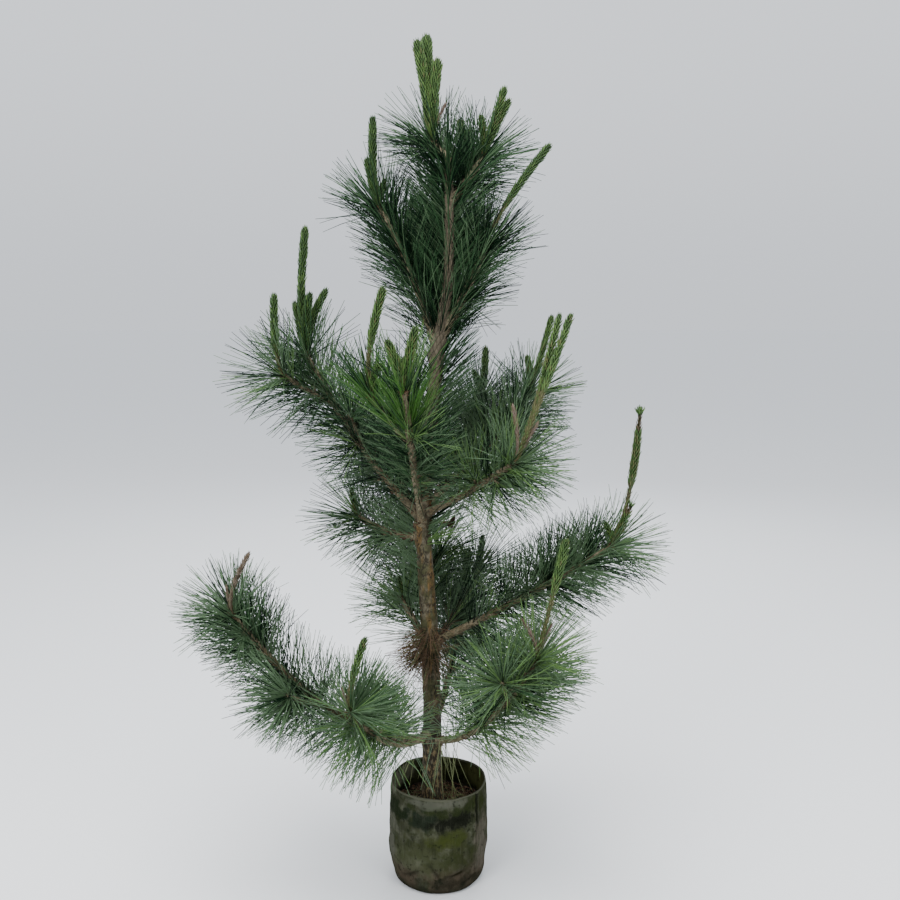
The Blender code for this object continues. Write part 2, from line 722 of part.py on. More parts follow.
def main():
    """Build the tree from the bag up."""
    clear_scene()
    parts = make_collection("japanese_black_pine")
    cutters = make_collection("cutters")
    felt = make_material("grey felt", (0.16, 0.17, 0.13), 0.95)
    earth = make_material("bark potting mix", (0.07, 0.045, 0.03), 0.95)
    bark = make_material("grey brown bark", (0.20, 0.14, 0.10), 0.9)
    green = make_material("dark green needles", (0.045, 0.12, 0.045), 0.55)

    build_bag(felt, parts)
    build_mix(earth, parts)
    finish(trunk_shape("trunk", 0.0, parts), bark)
    trunk_cutter = trunk_shape("trunk_cutter", GAP, cutters)
    trunk_cutter.hide_render = True
    trunk_cutter.display_type = "WIRE"
    for bough in BOUGHS:
        build_bough(bough, bark, parts, trunk_cutter)

    clearance = Clearance()
    marks = [Vector((x, y, z)) for z, x, y, _ in TRUNK_MARKS]
    clearance.add_line("trunk", marks, [mark[3] for mark in TRUNK_MARKS])
    for bough in BOUGHS:
        points = bough_points(bough)
        clearance.add_line(bough.name + "_bough", points, taper(bough.girth, BOUGH_TIP_RADIUS, len(points)))
    masses = [bough_mass(bough, number) for number, bough in enumerate(BOUGHS)]
    masses += [sleeve_mass(), leader_mass()]
    for mass in masses:
        for points, radii in mass.limbs:
            clearance.add_line(mass.name, points, [max(pair) for pair in zip(radii, radii[1:])])
    drop_blocked_needles(masses, clearance)
    for mass in masses:
        build_mass(mass, green, parts, trunk_cutter)


main()
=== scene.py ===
"""Looks of a young Japanese black pine in its grey felt grow bag.

Metres, +Z up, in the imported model's frame: +X is to the viewer's right and +Y points
away from the viewer. The tree is grown again by the rule of its source, with the same
boughs, twigs and new shoots, and is carried on from there to spurs, needles in pairs at
nearly their true girth, the scales of the new shoots and the relief of the bark.
"""
import logging
import math
import random
from dataclasses import dataclass, field
from enum import Enum
from typing import Any, Callable, Iterable, Sequence

import bpy
import numpy as np
from bpy.types import Material, Node, NodeSocket, NodeTree, Object
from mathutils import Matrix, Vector, noise


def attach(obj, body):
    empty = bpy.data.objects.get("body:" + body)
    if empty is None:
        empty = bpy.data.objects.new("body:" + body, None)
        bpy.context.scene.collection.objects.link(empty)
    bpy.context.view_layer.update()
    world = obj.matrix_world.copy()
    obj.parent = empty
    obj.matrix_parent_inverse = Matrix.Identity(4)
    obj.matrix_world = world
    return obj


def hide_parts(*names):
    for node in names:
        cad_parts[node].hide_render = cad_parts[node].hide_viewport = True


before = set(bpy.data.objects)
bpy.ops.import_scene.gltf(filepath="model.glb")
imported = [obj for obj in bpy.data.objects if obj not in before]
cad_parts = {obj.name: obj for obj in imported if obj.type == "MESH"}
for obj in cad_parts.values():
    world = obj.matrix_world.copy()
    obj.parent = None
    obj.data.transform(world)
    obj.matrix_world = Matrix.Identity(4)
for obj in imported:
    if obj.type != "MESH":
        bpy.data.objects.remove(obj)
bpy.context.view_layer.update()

LOG = logging.getLogger("black_pine")
BODY = "root"
UP = Vector((0.0, 0.0, 1.0))
GOLDEN_ANGLE = math.radians(137.508)
NOISE_SEED = 7  # without it the warp of the trunk's plates would start from the time of day

Triple = tuple[float, float, float]
Relief = Callable[[Vector, float, float], tuple[float, float]]


class Slot(Enum):
    """The record's material slots."""

    FELT = "felt"
    MIX = "potting_mix"
    BARK = "bark"
    NEEDLES = "needles"


class Tone(Enum):
    """The plain colours that needles, scales and litter are dealt, by spray."""

    DEEP = 0
    BLUE = 1
    MID = 2
    BRIGHT = 3
    FRESH = 4
    OLD = 5
    DEAD = 6
    SHEATH = 7


class ShootTone(Enum):
    """What a new shoot is clothed in. DEEP is a darker green, painted shade for shoots that stand backlit."""

    GREEN = "green"
    # Painted shade: darker green scales for backlit shoots.
    DEEP = "deep green"
    OLIVE = "olive"
    BROWN = "brown"
    PINK = "pink"


class Palette(Enum):
    """How often each tone comes up in the sprays of one mass. SHADED and SUNLIT are painted shade and painted
    light: darker sprays for a mass in shade, bright green ones for a lit end.
    """

    CROWN = ((Tone.DEEP, 5), (Tone.MID, 5), (Tone.BLUE, 2))
    # Painted shade: darker sprays for a mass that lies in shade.
    SHADED = ((Tone.DEEP, 4), (Tone.BLUE, 6), (Tone.MID, 1))
    MIXED = ((Tone.DEEP, 3), (Tone.BLUE, 5), (Tone.MID, 3), (Tone.FRESH, 1))
    # Mostly blue green, so partly painted sheen.
    SILVERY = ((Tone.BLUE, 8), (Tone.DEEP, 4), (Tone.MID, 1), (Tone.FRESH, 1))
    # Mostly blue green, so partly painted sheen.
    PALE = ((Tone.BLUE, 8), (Tone.FRESH, 4), (Tone.MID, 1), (Tone.DEEP, 2))
    # Painted light: bright green sprays for a lit end.
    SUNLIT = ((Tone.BRIGHT, 5), (Tone.MID, 3), (Tone.DEEP, 4), (Tone.FRESH, 1))
    FRESH = ((Tone.FRESH, 4), (Tone.BRIGHT, 1), (Tone.BLUE, 8), (Tone.MID, 2))

    def deal(self, chooser: random.Random) -> Tone:
        """Pick one tone by its weight."""
        tones, weights = zip(*self.value)
        return chooser.choices(tones, weights)[0]


@dataclass(frozen=True)
class Shoot:
    """A new upright shoot: length, lean in degrees to +X and to +Y, the share of its
    length that is clothed, from the top, what clothes it and how stout it is."""

    length: float
    lean_x: float = 0.0
    lean_y: float = 0.0
    head: float = 1.0
    tone: ShootTone = ShootTone.GREEN
    stout: float = 1.0


@dataclass(frozen=True)
class Fork:
    """A second head of a mass: its place on the stem, its run and its shoots."""

    share: float
    run: Triple
    shoots: tuple[Shoot, ...]


@dataclass(frozen=True)
class TrunkSide:
    """Needles that the trunk carries on one side: heights, heading, half the arc that
    they fill in degrees, and how thickly they are set."""

    low: float
    high: float
    heading: float
    arc: float
    density: float


def even(low: float, high: float, steps: int) -> list[float]:
    """Evenly spaced values from low to high, with both ends."""
    return [low + (high - low) * step / steps for step in range(steps + 1)]


def smooth_step(low: float, high: float, value: float) -> float:
    """Rise softly from 0 at low to 1 at high."""
    share = min(1.0, max(0.0, (value - low) / (high - low)))
    return share * share * (3.0 - 2.0 * share)


def polar(reach: float, heading: float, height: float = 0.0) -> Vector:
    """A point by its reach from the Z axis, its heading round it and its height."""
    return Vector((reach * math.cos(heading), reach * math.sin(heading), height))


def leant(along: Vector, out: Vector, tilt: float) -> Vector:
    """A direction tilted from one towards another that stands square to it."""
    return along * math.cos(tilt) + out * math.sin(tilt)


def turned(direction: Vector, spread: float, turn: float) -> Vector:
    """A direction leant off another by spread, turned round it by turn."""
    side = direction.orthogonal().normalized()
    return leant(direction, leant(side, direction.cross(side), turn), spread).normalized()


def bezier(start: Vector, middle: Vector, end: Vector, share: float) -> Vector:
    """A point on a quadratic curve."""
    back = 1.0 - share
    return start * (back * back) + middle * (2.0 * back * share) + end * (share * share)


def bow(curve: Sequence[Vector], steps: int, start: float = 0.0, end: float = 1.0) -> list[Vector]:
    """Points of a quadratic curve between two shares of it."""
    return [bezier(*curve, share) for share in even(start, end, steps)]


def tangent(curve: Sequence[Vector], share: float) -> Vector:
    """The direction of a quadratic curve at a share of it."""
    start, middle, end = curve
    return ((middle - start) * (1.0 - share) + (end - middle) * share).normalized()


def run_length(points: Sequence[Vector]) -> float:
    """The length of a run of points."""
    return sum((end - start).length for start, end in zip(points, points[1:]))


def point_along(points: Sequence[Vector], share: float) -> tuple[Vector, Vector]:
    """The point and the direction at a share of the length of a run of points."""
    left = share * run_length(points)
    for start, end in zip(points, points[1:]):
        length = (end - start).length
        if left <= length:
            return start.lerp(end, left / length), (end - start).normalized()
        left -= length
    return points[-1].copy(), (points[-1] - points[-2]).normalized()


@dataclass(frozen=True)
class TrunkLine:
    """The trunk's line and girth: height, X, Y and radius of each mark."""

    marks: tuple[tuple[float, float, float, float], ...] = (
        (0.160, -0.014, 0.000, 0.0205),
        (0.380, -0.013, -0.003, 0.0188),
        (0.560, -0.019, -0.005, 0.0176),
        (0.745, -0.031, -0.004, 0.0155),
        (0.920, -0.018, 0.002, 0.0150),
        (1.110, 0.000, 0.006, 0.0142),
        (1.235, 0.021, 0.005, 0.0108),
        (1.350, 0.023, 0.001, 0.0098),
        (1.465, 0.021, 0.000, 0.0070),
    )

    @property
    def foot(self) -> float:
        """Height of the cut under the trunk."""
        return self.marks[0][0]

    @property
    def top(self) -> float:
        """Height of the trunk's tip."""
        return self.marks[-1][0]

    def at(self, height: float) -> Vector:
        """The trunk's middle at a height."""
        heights, across, depth, _ = zip(*self.marks)
        return Vector((float(np.interp(height, heights, across)),
                       float(np.interp(height, heights, depth)), height))

    def stretch(self, low: float, high: float, steps: int) -> list[Vector]:
        """Points of the trunk's middle between two heights."""
        return [self.at(height) for height in even(low, high, steps)]

    def radius(self, height: float) -> float:
        """The trunk's radius at a height, without its flare."""
        heights, _, _, radii = zip(*self.marks)
        return float(np.interp(height, heights, radii))


TRUNK_LINE = TrunkLine()


@dataclass(frozen=True)
class Bough:
    """A bough by its height on the trunk, its heading in degrees, how far out and how
    much higher its tip is, how far its middle hangs below the straight line, its radius
    at the trunk, the share of it that is bare, its side twigs, shoots and forks, the
    palettes of its needles at its end and nearer the trunk, the share of the bare part
    that stays bare of thin needles too, how far its needles turn up, how far they are
    combed to +X, how thickly they are set, and the needles that the trunk carries
    beside it."""

    name: str
    height: float
    heading: float
    reach: float
    rise: float
    sag: float
    girth: float
    bare: float
    twigs: int
    shoots: tuple[Shoot, ...]
    forks: tuple[Fork, ...] = ()
    palette: Palette = Palette.CROWN
    # Painted shade: the palette nearer the trunk, where there is one, darkens the inner needles.
    inner: Palette | None = None
    clad: float = 0.6
    lift: float = 0.0
    comb: float = 0.0
    density: float = 1.0
    sides: tuple[TrunkSide, ...] = ()

    def curve(self) -> tuple[Vector, Vector, Vector]:
        """The curve's three points, from the trunk's middle to the bough's tip."""
        root = TRUNK_LINE.at(self.height)
        tip = root + polar(1.0, math.radians(self.heading)) * self.reach + UP * self.rise
        return root, (root + tip) / 2 - UP * (2.0 * self.sag), tip

    def stem(self, steps: int, straight: float) -> list[Vector]:
        """The clothed end of the bough.

        Args:
            steps: How many pieces it has.
            straight: Length of the straight start that the source gives it.

        Returns:
            Its points, from the end of the bare part to the tip.
        """
        points = bow(self.curve(), steps, self.bare)
        points.insert(1, points[0] + tangent(self.curve(), self.bare) * straight)
        return points


GREEN, DEEP, OLIVE, BROWN, PINK = ShootTone

BOUGHS = (
    # low_left takes SHADED sprays, painted shade.
    Bough("low_left", 0.300, -165.5, 0.400, 0.303, 0.076, 0.0082, 0.38, 2,
          (Shoot(0.130, 18, -4, 0.60, BROWN, stout=1.30), Shoot(0.058, -8, -3, 0.8, BROWN, stout=1.2)),
          palette=Palette.SHADED, clad=0.30, density=1.1),
    Bough("low_front", 0.316, -121.0, 0.281, 0.144, 0.044, 0.0075, 0.52, 1,
          (Shoot(0.152, 12, -6, 0.6, stout=0.72), Shoot(0.055, -14, -10, 0.8, PINK)),
          palette=Palette.FRESH, clad=0.35, density=2.2, comb=0.70),
    Bough("low_right", 0.298, -45.3, 0.282, 0.249, 0.052, 0.0080, 0.34, 2,
          (Shoot(0.236, 12, -4, 0.45), Shoot(0.087, -20, -6, 0.6, PINK), Shoot(0.073, 23, 4, 0.6, PINK)),
          palette=Palette.PALE, density=1.35),
    Bough("low_back", 0.322, 76.0, 0.285, 0.190, 0.040, 0.0072, 0.36, 1,
          (Shoot(0.125, 6, 10, 0.7), Shoot(0.060, -18, 12, 0.8)),
          palette=Palette.SILVERY),
    Bough("middle_right", 0.505, -7.9, 0.364, 0.219, 0.008, 0.0078, 0.36, 1,
          (Shoot(0.276, 10, -2, 0.55, OLIVE), Shoot(0.094, 23, -6, 0.8, OLIVE), Shoot(0.052, -17, 6, 0.8)),
          palette=Palette.SILVERY, density=1.4),
    Bough("middle_back_left", 0.520, 104.0, 0.240, 0.190, 0.010, 0.0066, 0.22, 1,
          (Shoot(0.090, -6, 12, 0.8), Shoot(0.055, 14, 6, 0.8)),
          palette=Palette.SILVERY),
    Bough("middle_back_right", 0.488, 64.0, 0.240, 0.120, 0.010, 0.0066, 0.24, 1,
          (Shoot(0.075, 8, 14, 0.8),),
          palette=Palette.SILVERY),
    Bough("middle_left", 0.498, 156.0, 0.064, 0.096, 0.004, 0.0060, 0.52, 0,
          (Shoot(0.050, -6, 4, 0.9),),
          palette=Palette.SILVERY, clad=0.35, density=1.2,
          sides=(TrunkSide(0.535, 0.790, 168.0, 62.0, 0.30),)),
    Bough("upper_left", 0.765, -167.4, 0.228, 0.335, 0.028, 0.0080, 0.24, 1,
          (Shoot(0.240, 1, -2, 1.0, DEEP, 0.90), Shoot(0.104, -12, 5, 1.0, DEEP, 0.88),
           Shoot(0.120, 6, -9, 1.0, DEEP, 0.90), Shoot(0.132, 18, 3, 1.0, DEEP, 0.88)),
          (Fork(0.66, (-0.088, -0.070, 0.062), (Shoot(0.150, -4, -4, 0.75, DEEP, 0.85),)),),
          palette=Palette.MIXED, clad=0.7),
    # upper_front: the SUNLIT needles at its end are painted light, and the MIXED ones nearer the trunk are
    # painted shade.
    Bough("upper_front", 0.750, -95.0, 0.271, 0.295, 0.010, 0.0080, 0.26, 0,
          (Shoot(0.097, -17, -14, 0.9), Shoot(0.115, 11, -7, 0.9), Shoot(0.060, -3, 16, 0.9)),
          (Fork(0.55, (-0.072, 0.010, 0.086), (Shoot(0.200, 7, -3, 0.55), Shoot(0.068, 14, -12, 0.9))),),
          palette=Palette.SUNLIT, inner=Palette.MIXED, clad=0.85, lift=0.95, density=1.1),
    Bough("upper_right", 0.776, -42.9, 0.235, 0.130, 0.005, 0.0074, 0.44, 1,
          (Shoot(0.289, 20, -1, 0.50, stout=0.68), Shoot(0.284, 16.5, 3, 0.50, stout=0.68),
           Shoot(0.112, -3, -8, 0.5, PINK), Shoot(0.090, 28, -8, 0.6, PINK)),
          palette=Palette.PALE, clad=0.70, density=1.15,
          sides=(TrunkSide(0.712, 0.792, -6.0, 52.0, 0.62),)),
    Bough("upper_back_right", 0.786, 26.0, 0.244, 0.227, 0.008, 0.0068, 0.28, 1,
          (Shoot(0.168, 16, 4, 0.8, stout=0.72), Shoot(0.080, -4, 12, 0.9)),
          palette=Palette.SILVERY),
    Bough("upper_back", 0.768, 63.0, 0.273, 0.219, 0.010, 0.0068, 0.28, 1,
          (Shoot(0.120, 5, 12, 0.9), Shoot(0.070, -16, 6, 0.9))),
    Bough("upper_back_left", 0.752, 112.0, 0.262, 0.165, 0.015, 0.0068, 0.26, 1,
          (Shoot(0.110, -8, 10, 0.9), Shoot(0.065, 12, 8, 0.9))),
    Bough("upper_left_low", 0.732, 158.0, 0.150, 0.030, 0.014, 0.0064, 0.26, 0,
          (Shoot(0.060, -12, 6, 0.9),),
          palette=Palette.SILVERY, clad=0.3, density=1.15),
    Bough("crown_left", 1.100, 180.0, 0.114, 0.278, -0.030, 0.0066, 0.22, 1,
          (Shoot(0.173, -3, -1, 1.0, DEEP), Shoot(0.097, -13, -5, 1.0, DEEP), Shoot(0.059, 13, 5, 1.0, DEEP)),
          clad=0.2, lift=0.34, density=1.18),
    Bough("crown_right", 1.120, -8.0, 0.092, 0.180, 0.006, 0.0064, 0.34, 0,
          (Shoot(0.232, 32, -2, 0.62, DEEP, 0.88),),
          clad=0.2, lift=0.34, density=1.18,
          sides=(TrunkSide(0.930, 1.115, -8.0, 55.0, 0.55), TrunkSide(0.960, 1.115, 172.0, 55.0, 0.20))),
    Bough("crown_back", 1.116, 92.0, 0.170, 0.240, -0.010, 0.0062, 0.22, 1,
          (Shoot(0.130, -4, 12, 1.0), Shoot(0.070, 14, 8, 1.0)),
          clad=0.2, lift=0.34, density=1.18),
    Bough("top_right", 1.390, 20.0, 0.070, 0.086, 0.004, 0.0062, 0.34, 0,
          (Shoot(0.138, 18, -6, 1.0, stout=0.92), Shoot(0.124, 25, 4, 1.0, stout=0.92),
           Shoot(0.080, -3, -9, 1.0)),
          clad=0.2, lift=0.12, density=1.15),
    Bough("top_back", 1.380, 70.0, 0.095, 0.090, 0.006, 0.0062, 0.30, 0,
          (Shoot(0.096, -7, 8, 1.0), Shoot(0.078, 8, 14, 1.0)),
          clad=0.2, lift=0.08, density=1.05),
)

LEADER_SHOOTS = (
    Shoot(0.190, -8.0, -3, 1.0, stout=1.50),
    Shoot(0.204, -2.5, 4, 1.0, stout=1.46),
    Shoot(0.154, 5.0, -6, 1.0, stout=1.38),
    Shoot(0.085, 20, 9, 1.0, PINK),
)


@dataclass(frozen=True)
class OldCone:
    """A small old cone on a stalk: the stalk's height on the trunk, its heading, how far
    out it ends and how much higher, the cone's length, and the scales that it is dealt."""

    height: float
    heading: float
    reach: float
    rise: float
    length: float
    deals: tuple[int, ...]

    def stalk(self) -> tuple[Vector, Vector]:
        """The stalk's two ends."""
        foot = TRUNK_LINE.at(self.height)
        return foot, foot + polar(1.0, math.radians(self.heading)) * self.reach + UP * self.rise


OLD_CONES = (
    OldCone(0.788, -6.0, 0.049, 0.014, 0.015, (1,)),
    OldCone(0.762, -22.0, 0.062, 0.002, 0.021, (0, 1, 1)),
)


class Sheet:
    """A node tree being wired, for shaders and geometry alike."""

    def __init__(self, tree: NodeTree) -> None:
        """Take the tree to add to."""
        self.tree = tree

    @classmethod
    def geometry(cls, name: str, sizes: dict[str, float]) -> tuple["Sheet", Any]:
        """Start a Geometry Nodes tree.

        Args:
            name: The tree's name.
            sizes: Its named inputs beside the geometry, with their usual values.

        Returns:
            The tree being wired and the sockets of what it is given.
        """
        sheet = cls(bpy.data.node_groups.new(name, "GeometryNodeTree"))
        sheet.name_socket("Geometry", "NodeSocketGeometry")
        for label, value in sizes.items():
            sheet.name_socket(label, "NodeSocketFloat", value=value)
        sheet.name_socket("Geometry", "NodeSocketGeometry", output=True)
        return sheet, sheet.put("NodeGroupInput").outputs

    def name_socket(self, name: str, kind: str, output: bool = False, value: Any = None) -> None:
        """Give the tree a named input or output of its own."""
        way = "OUTPUT" if output else "INPUT"
        socket = self.tree.interface.new_socket(name, in_out=way, socket_type=kind)
        if value is not None:
            socket.default_value = value

    def put(self, kind: str, feeds: dict[Any, Any] | None = None, **options: Any) -> Node:
        """Add a node, set its options and feed its inputs.

        Args:
            kind: Blender's name for the type of node.
            feeds: Input name or number, to a plain value or to the socket that drives it.
            options: The node's own settings.

        Returns:
            The new node.
        """
        node = self.tree.nodes.new(kind)
        for label, value in options.items():
            setattr(node, label, value)
        for label, value in (feeds or {}).items():
            live = [socket for socket in node.inputs if socket.enabled]
            named = label if isinstance(label, int) else [socket.name for socket in live].index(label)
            self.feed(live[named], value)
        return node

    @staticmethod
    def out(node: Node, label: str = "") -> NodeSocket:
        """The output of a node with this name that is in use, or its first."""
        return next(socket for socket in node.outputs if socket.enabled and label in ("", socket.name))

    def get(self, kind: str, feeds: dict[Any, Any] | None = None, **options: Any) -> NodeSocket:
        """Add a node and give its first output in use."""
        return self.out(self.put(kind, feeds, **options))

    def feed(self, socket: NodeSocket, value: Any) -> None:
        """Drive an input with another socket, or set it to a plain value."""
        if isinstance(value, NodeSocket):
            self.tree.links.new(value, socket)
        else:
            socket.default_value = value

    def sum_up(self, operation: str, first: Any, second: Any) -> NodeSocket:
        """One step of arithmetic on two numbers or sockets."""
        return self.get("ShaderNodeMath", {0: first, 1: second}, operation=operation)

    def ramp(self, value: Any, low: Any, high: Any) -> NodeSocket:
        """Rise softly from 0 at low to 1 at high."""
        feeds = {"Value": value, "From Min": low, "From Max": high}
        return self.get("ShaderNodeMapRange", feeds, interpolation_type="SMOOTHSTEP")

    def tint(self, share: Any, first: Any, second: Any) -> NodeSocket:
        """Blend two colours, each a plain triple or a socket, by a share of the second."""
        first, second = [(*part, 1.0) if isinstance(part, tuple) else part for part in (first, second)]
        return self.get("ShaderNodeMix", {"Factor": share, "A": first, "B": second}, data_type="RGBA")

    def deal_out(self, tone: NodeSocket, materials: Sequence[Material], feeds: dict[str, Any]) -> None:
        """Stand an instance on every point, dressed by its tone, as the tree's plain result.

        Args:
            tone: The number of each point's material.
            materials: The materials, in order.
            feeds: What Instance on Points is fed, but for its selection.
        """
        joined = self.put("GeometryNodeJoinGeometry")
        for number, material in enumerate(materials):
            chosen = self.get("FunctionNodeCompare", {"A": tone, "B": number}, data_type="INT",
                              operation="EQUAL")
            stood = self.get("GeometryNodeInstanceOnPoints", {**feeds, "Selection": chosen})
            dressed = self.get("GeometryNodeSetMaterial", {"Geometry": stood, "Material": material})
            self.feed(joined.inputs[0], dressed)
        whole = self.get("GeometryNodeRealizeInstances", {0: self.out(joined)})
        self.put("NodeGroupOutput", {"Geometry": whole})


class Effects:
    """Shader effects that several finishes share, each a node group made once."""

    def __init__(self) -> None:
        """Make the groups, with the usual values of their inputs."""
        self.mottle = self.group("mottle", self.wire_mottle, Scale=20.0, Low=0.4, High=0.6, Detail=4.0)
        self.band = self.group("height band", self.wire_band, Scale=20.0, Low=0.0, High=1.0, Edge=0.01,
                               Wander=0.02)
        self.patch = self.group("patch", self.wire_patch, Scale=30.0, Middle=(0.0, 0.0, 0.0),
                                Reach=(0.1, 0.1, 0.1), Wander=0.6)

    @staticmethod
    def group(name: str, wire: Callable[[Sheet, Any], NodeSocket], **values: Any) -> NodeTree:
        """Make one group, whose output is called Mask.

        Args:
            name: The group's name.
            wire: Wires the nodes from what the group is given, and gives the mask.
            values: The usual values of its named inputs beside Place.

        Returns:
            The group.
        """
        sheet = Sheet(bpy.data.node_groups.new(name, "ShaderNodeTree"))
        sheet.name_socket("Place", "NodeSocketVector")
        for label, value in values.items():
            kind = "NodeSocketVector" if isinstance(value, tuple) else "NodeSocketFloat"
            sheet.name_socket(label, kind, value=value)
        sheet.name_socket("Mask", "NodeSocketFloat", output=True)
        sheet.put("NodeGroupOutput", {"Mask": wire(sheet, sheet.put("NodeGroupInput").outputs)})
        return sheet.tree

    @staticmethod
    def cloud(sheet: Sheet, given: Any, detail: Any) -> NodeSocket:
        """Cloudy noise at the group's place and scale."""
        feeds = {"Vector": given["Place"], "Scale": given["Scale"], "Detail": detail}
        return sheet.put("ShaderNodeTexNoise", feeds).outputs["Fac"]

    def wander(self, sheet: Sheet, given: Any, edge: Any, detail: float) -> NodeSocket:
        """Move an edge about by cloudy noise."""
        shift = sheet.sum_up("SUBTRACT", self.cloud(sheet, given, detail), 0.5)
        return sheet.sum_up("ADD", edge, sheet.sum_up("MULTIPLY", shift, given["Wander"]))

    def wire_mottle(self, sheet: Sheet, given: Any) -> NodeSocket:
        """Clouds between two levels."""
        return sheet.ramp(self.cloud(sheet, given, given["Detail"]), given["Low"], given["High"])

    def wire_band(self, sheet: Sheet, given: Any) -> NodeSocket:
        """A band of heights with wandering edges."""
        height = sheet.out(sheet.put("ShaderNodeSeparateXYZ", {0: given["Place"]}), "Z")
        height = self.wander(sheet, given, height, 4.0)
        low, high = [sheet.ramp(height, sheet.sum_up("SUBTRACT", given[limit], given["Edge"]),
                                sheet.sum_up("ADD", given[limit], given["Edge"]))
                     for limit in ("Low", "High")]
        return sheet.sum_up("SUBTRACT", low, high)

    def wire_patch(self, sheet: Sheet, given: Any) -> NodeSocket:
        """A ragged patch round a place, with a soft edge."""
        off = sheet.get("ShaderNodeVectorMath", {0: given["Place"], 1: given["Middle"]}, operation="SUBTRACT")
        off = sheet.get("ShaderNodeVectorMath", {0: off, 1: given["Reach"]}, operation="DIVIDE")
        far = sheet.out(sheet.put("ShaderNodeVectorMath", {0: off}, operation="LENGTH"), "Value")
        return sheet.ramp(self.wander(sheet, given, far, 5.0), 1.15, 0.45)


EFFECTS = Effects()


class MaterialSheet(Sheet):
    """A material being wired: its shader and the colour that it has so far."""

    def __init__(self, name: str, colour: Triple, roughness: float, specular: float) -> None:
        """Make the material and set its shader's plain values."""
        self.material = bpy.data.materials.new(name)
        self.material.use_nodes = True
        super().__init__(self.material.node_tree)
        self.inputs = self.tree.nodes["Principled BSDF"].inputs
        self.inputs["Roughness"].default_value = roughness
        self.inputs["Specular IOR Level"].default_value = specular
        self.colour: Any = colour

    @property
    def place(self) -> NodeSocket:
        """Object coordinates."""
        return self.put("ShaderNodeTexCoord").outputs["Object"]

    def stretched(self, across: float, along: float) -> NodeSocket:
        """Object coordinates scaled apart across and along the height."""
        return self.get("ShaderNodeMapping", {"Vector": self.place, "Scale": (across, across, along)})

    @property
    def crack(self) -> NodeSocket:
        """The mesh's own crack value."""
        return self.put("ShaderNodeAttribute", attribute_name="crack").outputs["Fac"]

    def effect(self, group: NodeTree, place: NodeSocket | None = None, **feeds: Any) -> NodeSocket:
        """The mask of a shared effect."""
        node = self.put("ShaderNodeGroup", node_tree=group)
        for label, value in {"Place": place or self.place, **feeds}.items():
            self.feed(node.inputs[label], value)
        return node.outputs["Mask"]

    def mottle(self, scale: float, low: float, high: float, detail: float = 4.0) -> NodeSocket:
        """A cloudy mask."""
        return self.effect(EFFECTS.mottle, Scale=scale, Low=low, High=high, Detail=detail)

    def streaks(self, across: float, along: float, low: float, high: float,
                detail: float = 4.0) -> NodeSocket:
        """A cloudy mask drawn out along the height."""
        return self.effect(EFFECTS.mottle, self.stretched(across, along), Scale=1.0, Low=low, High=high,
                           Detail=detail)

    def band(self, low: float, high: float, edge: float, wander: float, scale: float) -> NodeSocket:
        """A mask of one band of heights with wandering edges."""
        return self.effect(EFFECTS.band, Low=low, High=high, Edge=edge, Wander=wander, Scale=scale)

    def coat(self, colour: Triple, share: float, *masks: NodeSocket) -> None:
        """Lay a colour over what is there, by a share of the product of some masks."""
        product = masks[0]
        for mask in (*masks[1:], share):
            product = self.sum_up("MULTIPLY", product, mask)
        self.colour = self.tint(product, self.colour, colour)

    def finish(self, pattern: NodeSocket, strength: float, distance: float) -> Material:
        """Wire the colour, raise the surface a little by a pattern and give the material."""
        self.feed(self.inputs["Base Color"], self.colour)
        bump = self.get("ShaderNodeBump", {"Height": pattern, "Strength": strength, "Distance": distance})
        self.feed(self.inputs["Normal"], bump)
        return self.material


@dataclass(frozen=True)
class PlainFinish:
    """One plain colour, dealt out by spray where several go together."""

    name: str
    colour: Triple
    roughness: float
    specular: float

    def dress(self) -> Material:
        """Make the material."""
        sheet = MaterialSheet(self.name, self.colour, self.roughness, self.specular)
        sheet.inputs["Base Color"].default_value = (*self.colour, 1.0)
        sheet.material.diffuse_color = (*self.colour, 1.0)
        return sheet.material


@dataclass(frozen=True)
class BarkFinish:
    """Scaly bark: plates, dark cracks, rusty streaks and a green film, with a yellowish
    foot under a dark band that is painted shade, and a redder young part where they are given."""

    name: str
    plate: Triple
    pale: Triple
    rust: Triple
    dark: Triple
    film: Triple
    film_top: float
    rust_share: float
    grain: float
    patches: float = 60.0
    foot: Triple | None = None
    young: Triple | None = None

    def dress(self) -> Material:
        """Make the material, whose cracks follow the mesh's own relief."""
        sheet = MaterialSheet(self.name, self.plate, 0.88, 0.3)
        sheet.coat(self.pale, 1.0, sheet.mottle(self.patches, 0.40, 0.62))
        sheet.coat(self.rust, self.rust_share, sheet.streaks(95.0, 15.0, 0.46, 0.62),
                   sheet.band(0.42, 0.84, 0.07, 0.3, 12.0))
        sheet.coat(self.film, 0.75, sheet.band(-0.1, self.film_top, 0.12, 0.5, 14.0),
                   sheet.mottle(38.0, 0.42, 0.60))
        if self.foot:
            sheet.coat(self.foot, 0.78, sheet.band(-0.1, 0.296, 0.012, 0.04, 30.0),
                       sheet.mottle(90.0, 0.42, 0.60))
            # Painted shade: a dark band just above the foot, for the shade that the low needles cast on the
            # trunk.
            sheet.coat(self.dark, 0.65, sheet.band(0.304, 0.350, 0.016, 0.04, 30.0))
            sheet.coat(self.dark, 0.88, sheet.band(0.150, 0.350, 0.020, 0.04, 30.0),
                       sheet.streaks(260.0, 90.0, 0.44, 0.54))
        if self.young:
            sheet.coat(self.young, 0.65, sheet.band(1.05, 3.0, 0.08, 0.1, 12.0))
        sheet.coat(self.dark, 0.45, sheet.mottle(self.grain, 0.52, 0.68))
        sheet.coat(self.dark, 1.0, sheet.sum_up("POWER", sheet.crack, 1.4))
        return sheet.finish(sheet.mottle(self.grain, 0.25, 0.75), 0.5, 0.0006)


@dataclass(frozen=True)
class FeltPatch:
    """One ragged patch of the felt: its middle, how far it reaches, its strength, colour,
    how much its outline wanders and how fine that is. Patches lighten or darken the felt; the near-black one
    low on the front right is painted shade of that side."""

    middle: Triple
    reach: Triple
    strength: float
    colour: Triple
    wander: float
    scale: float


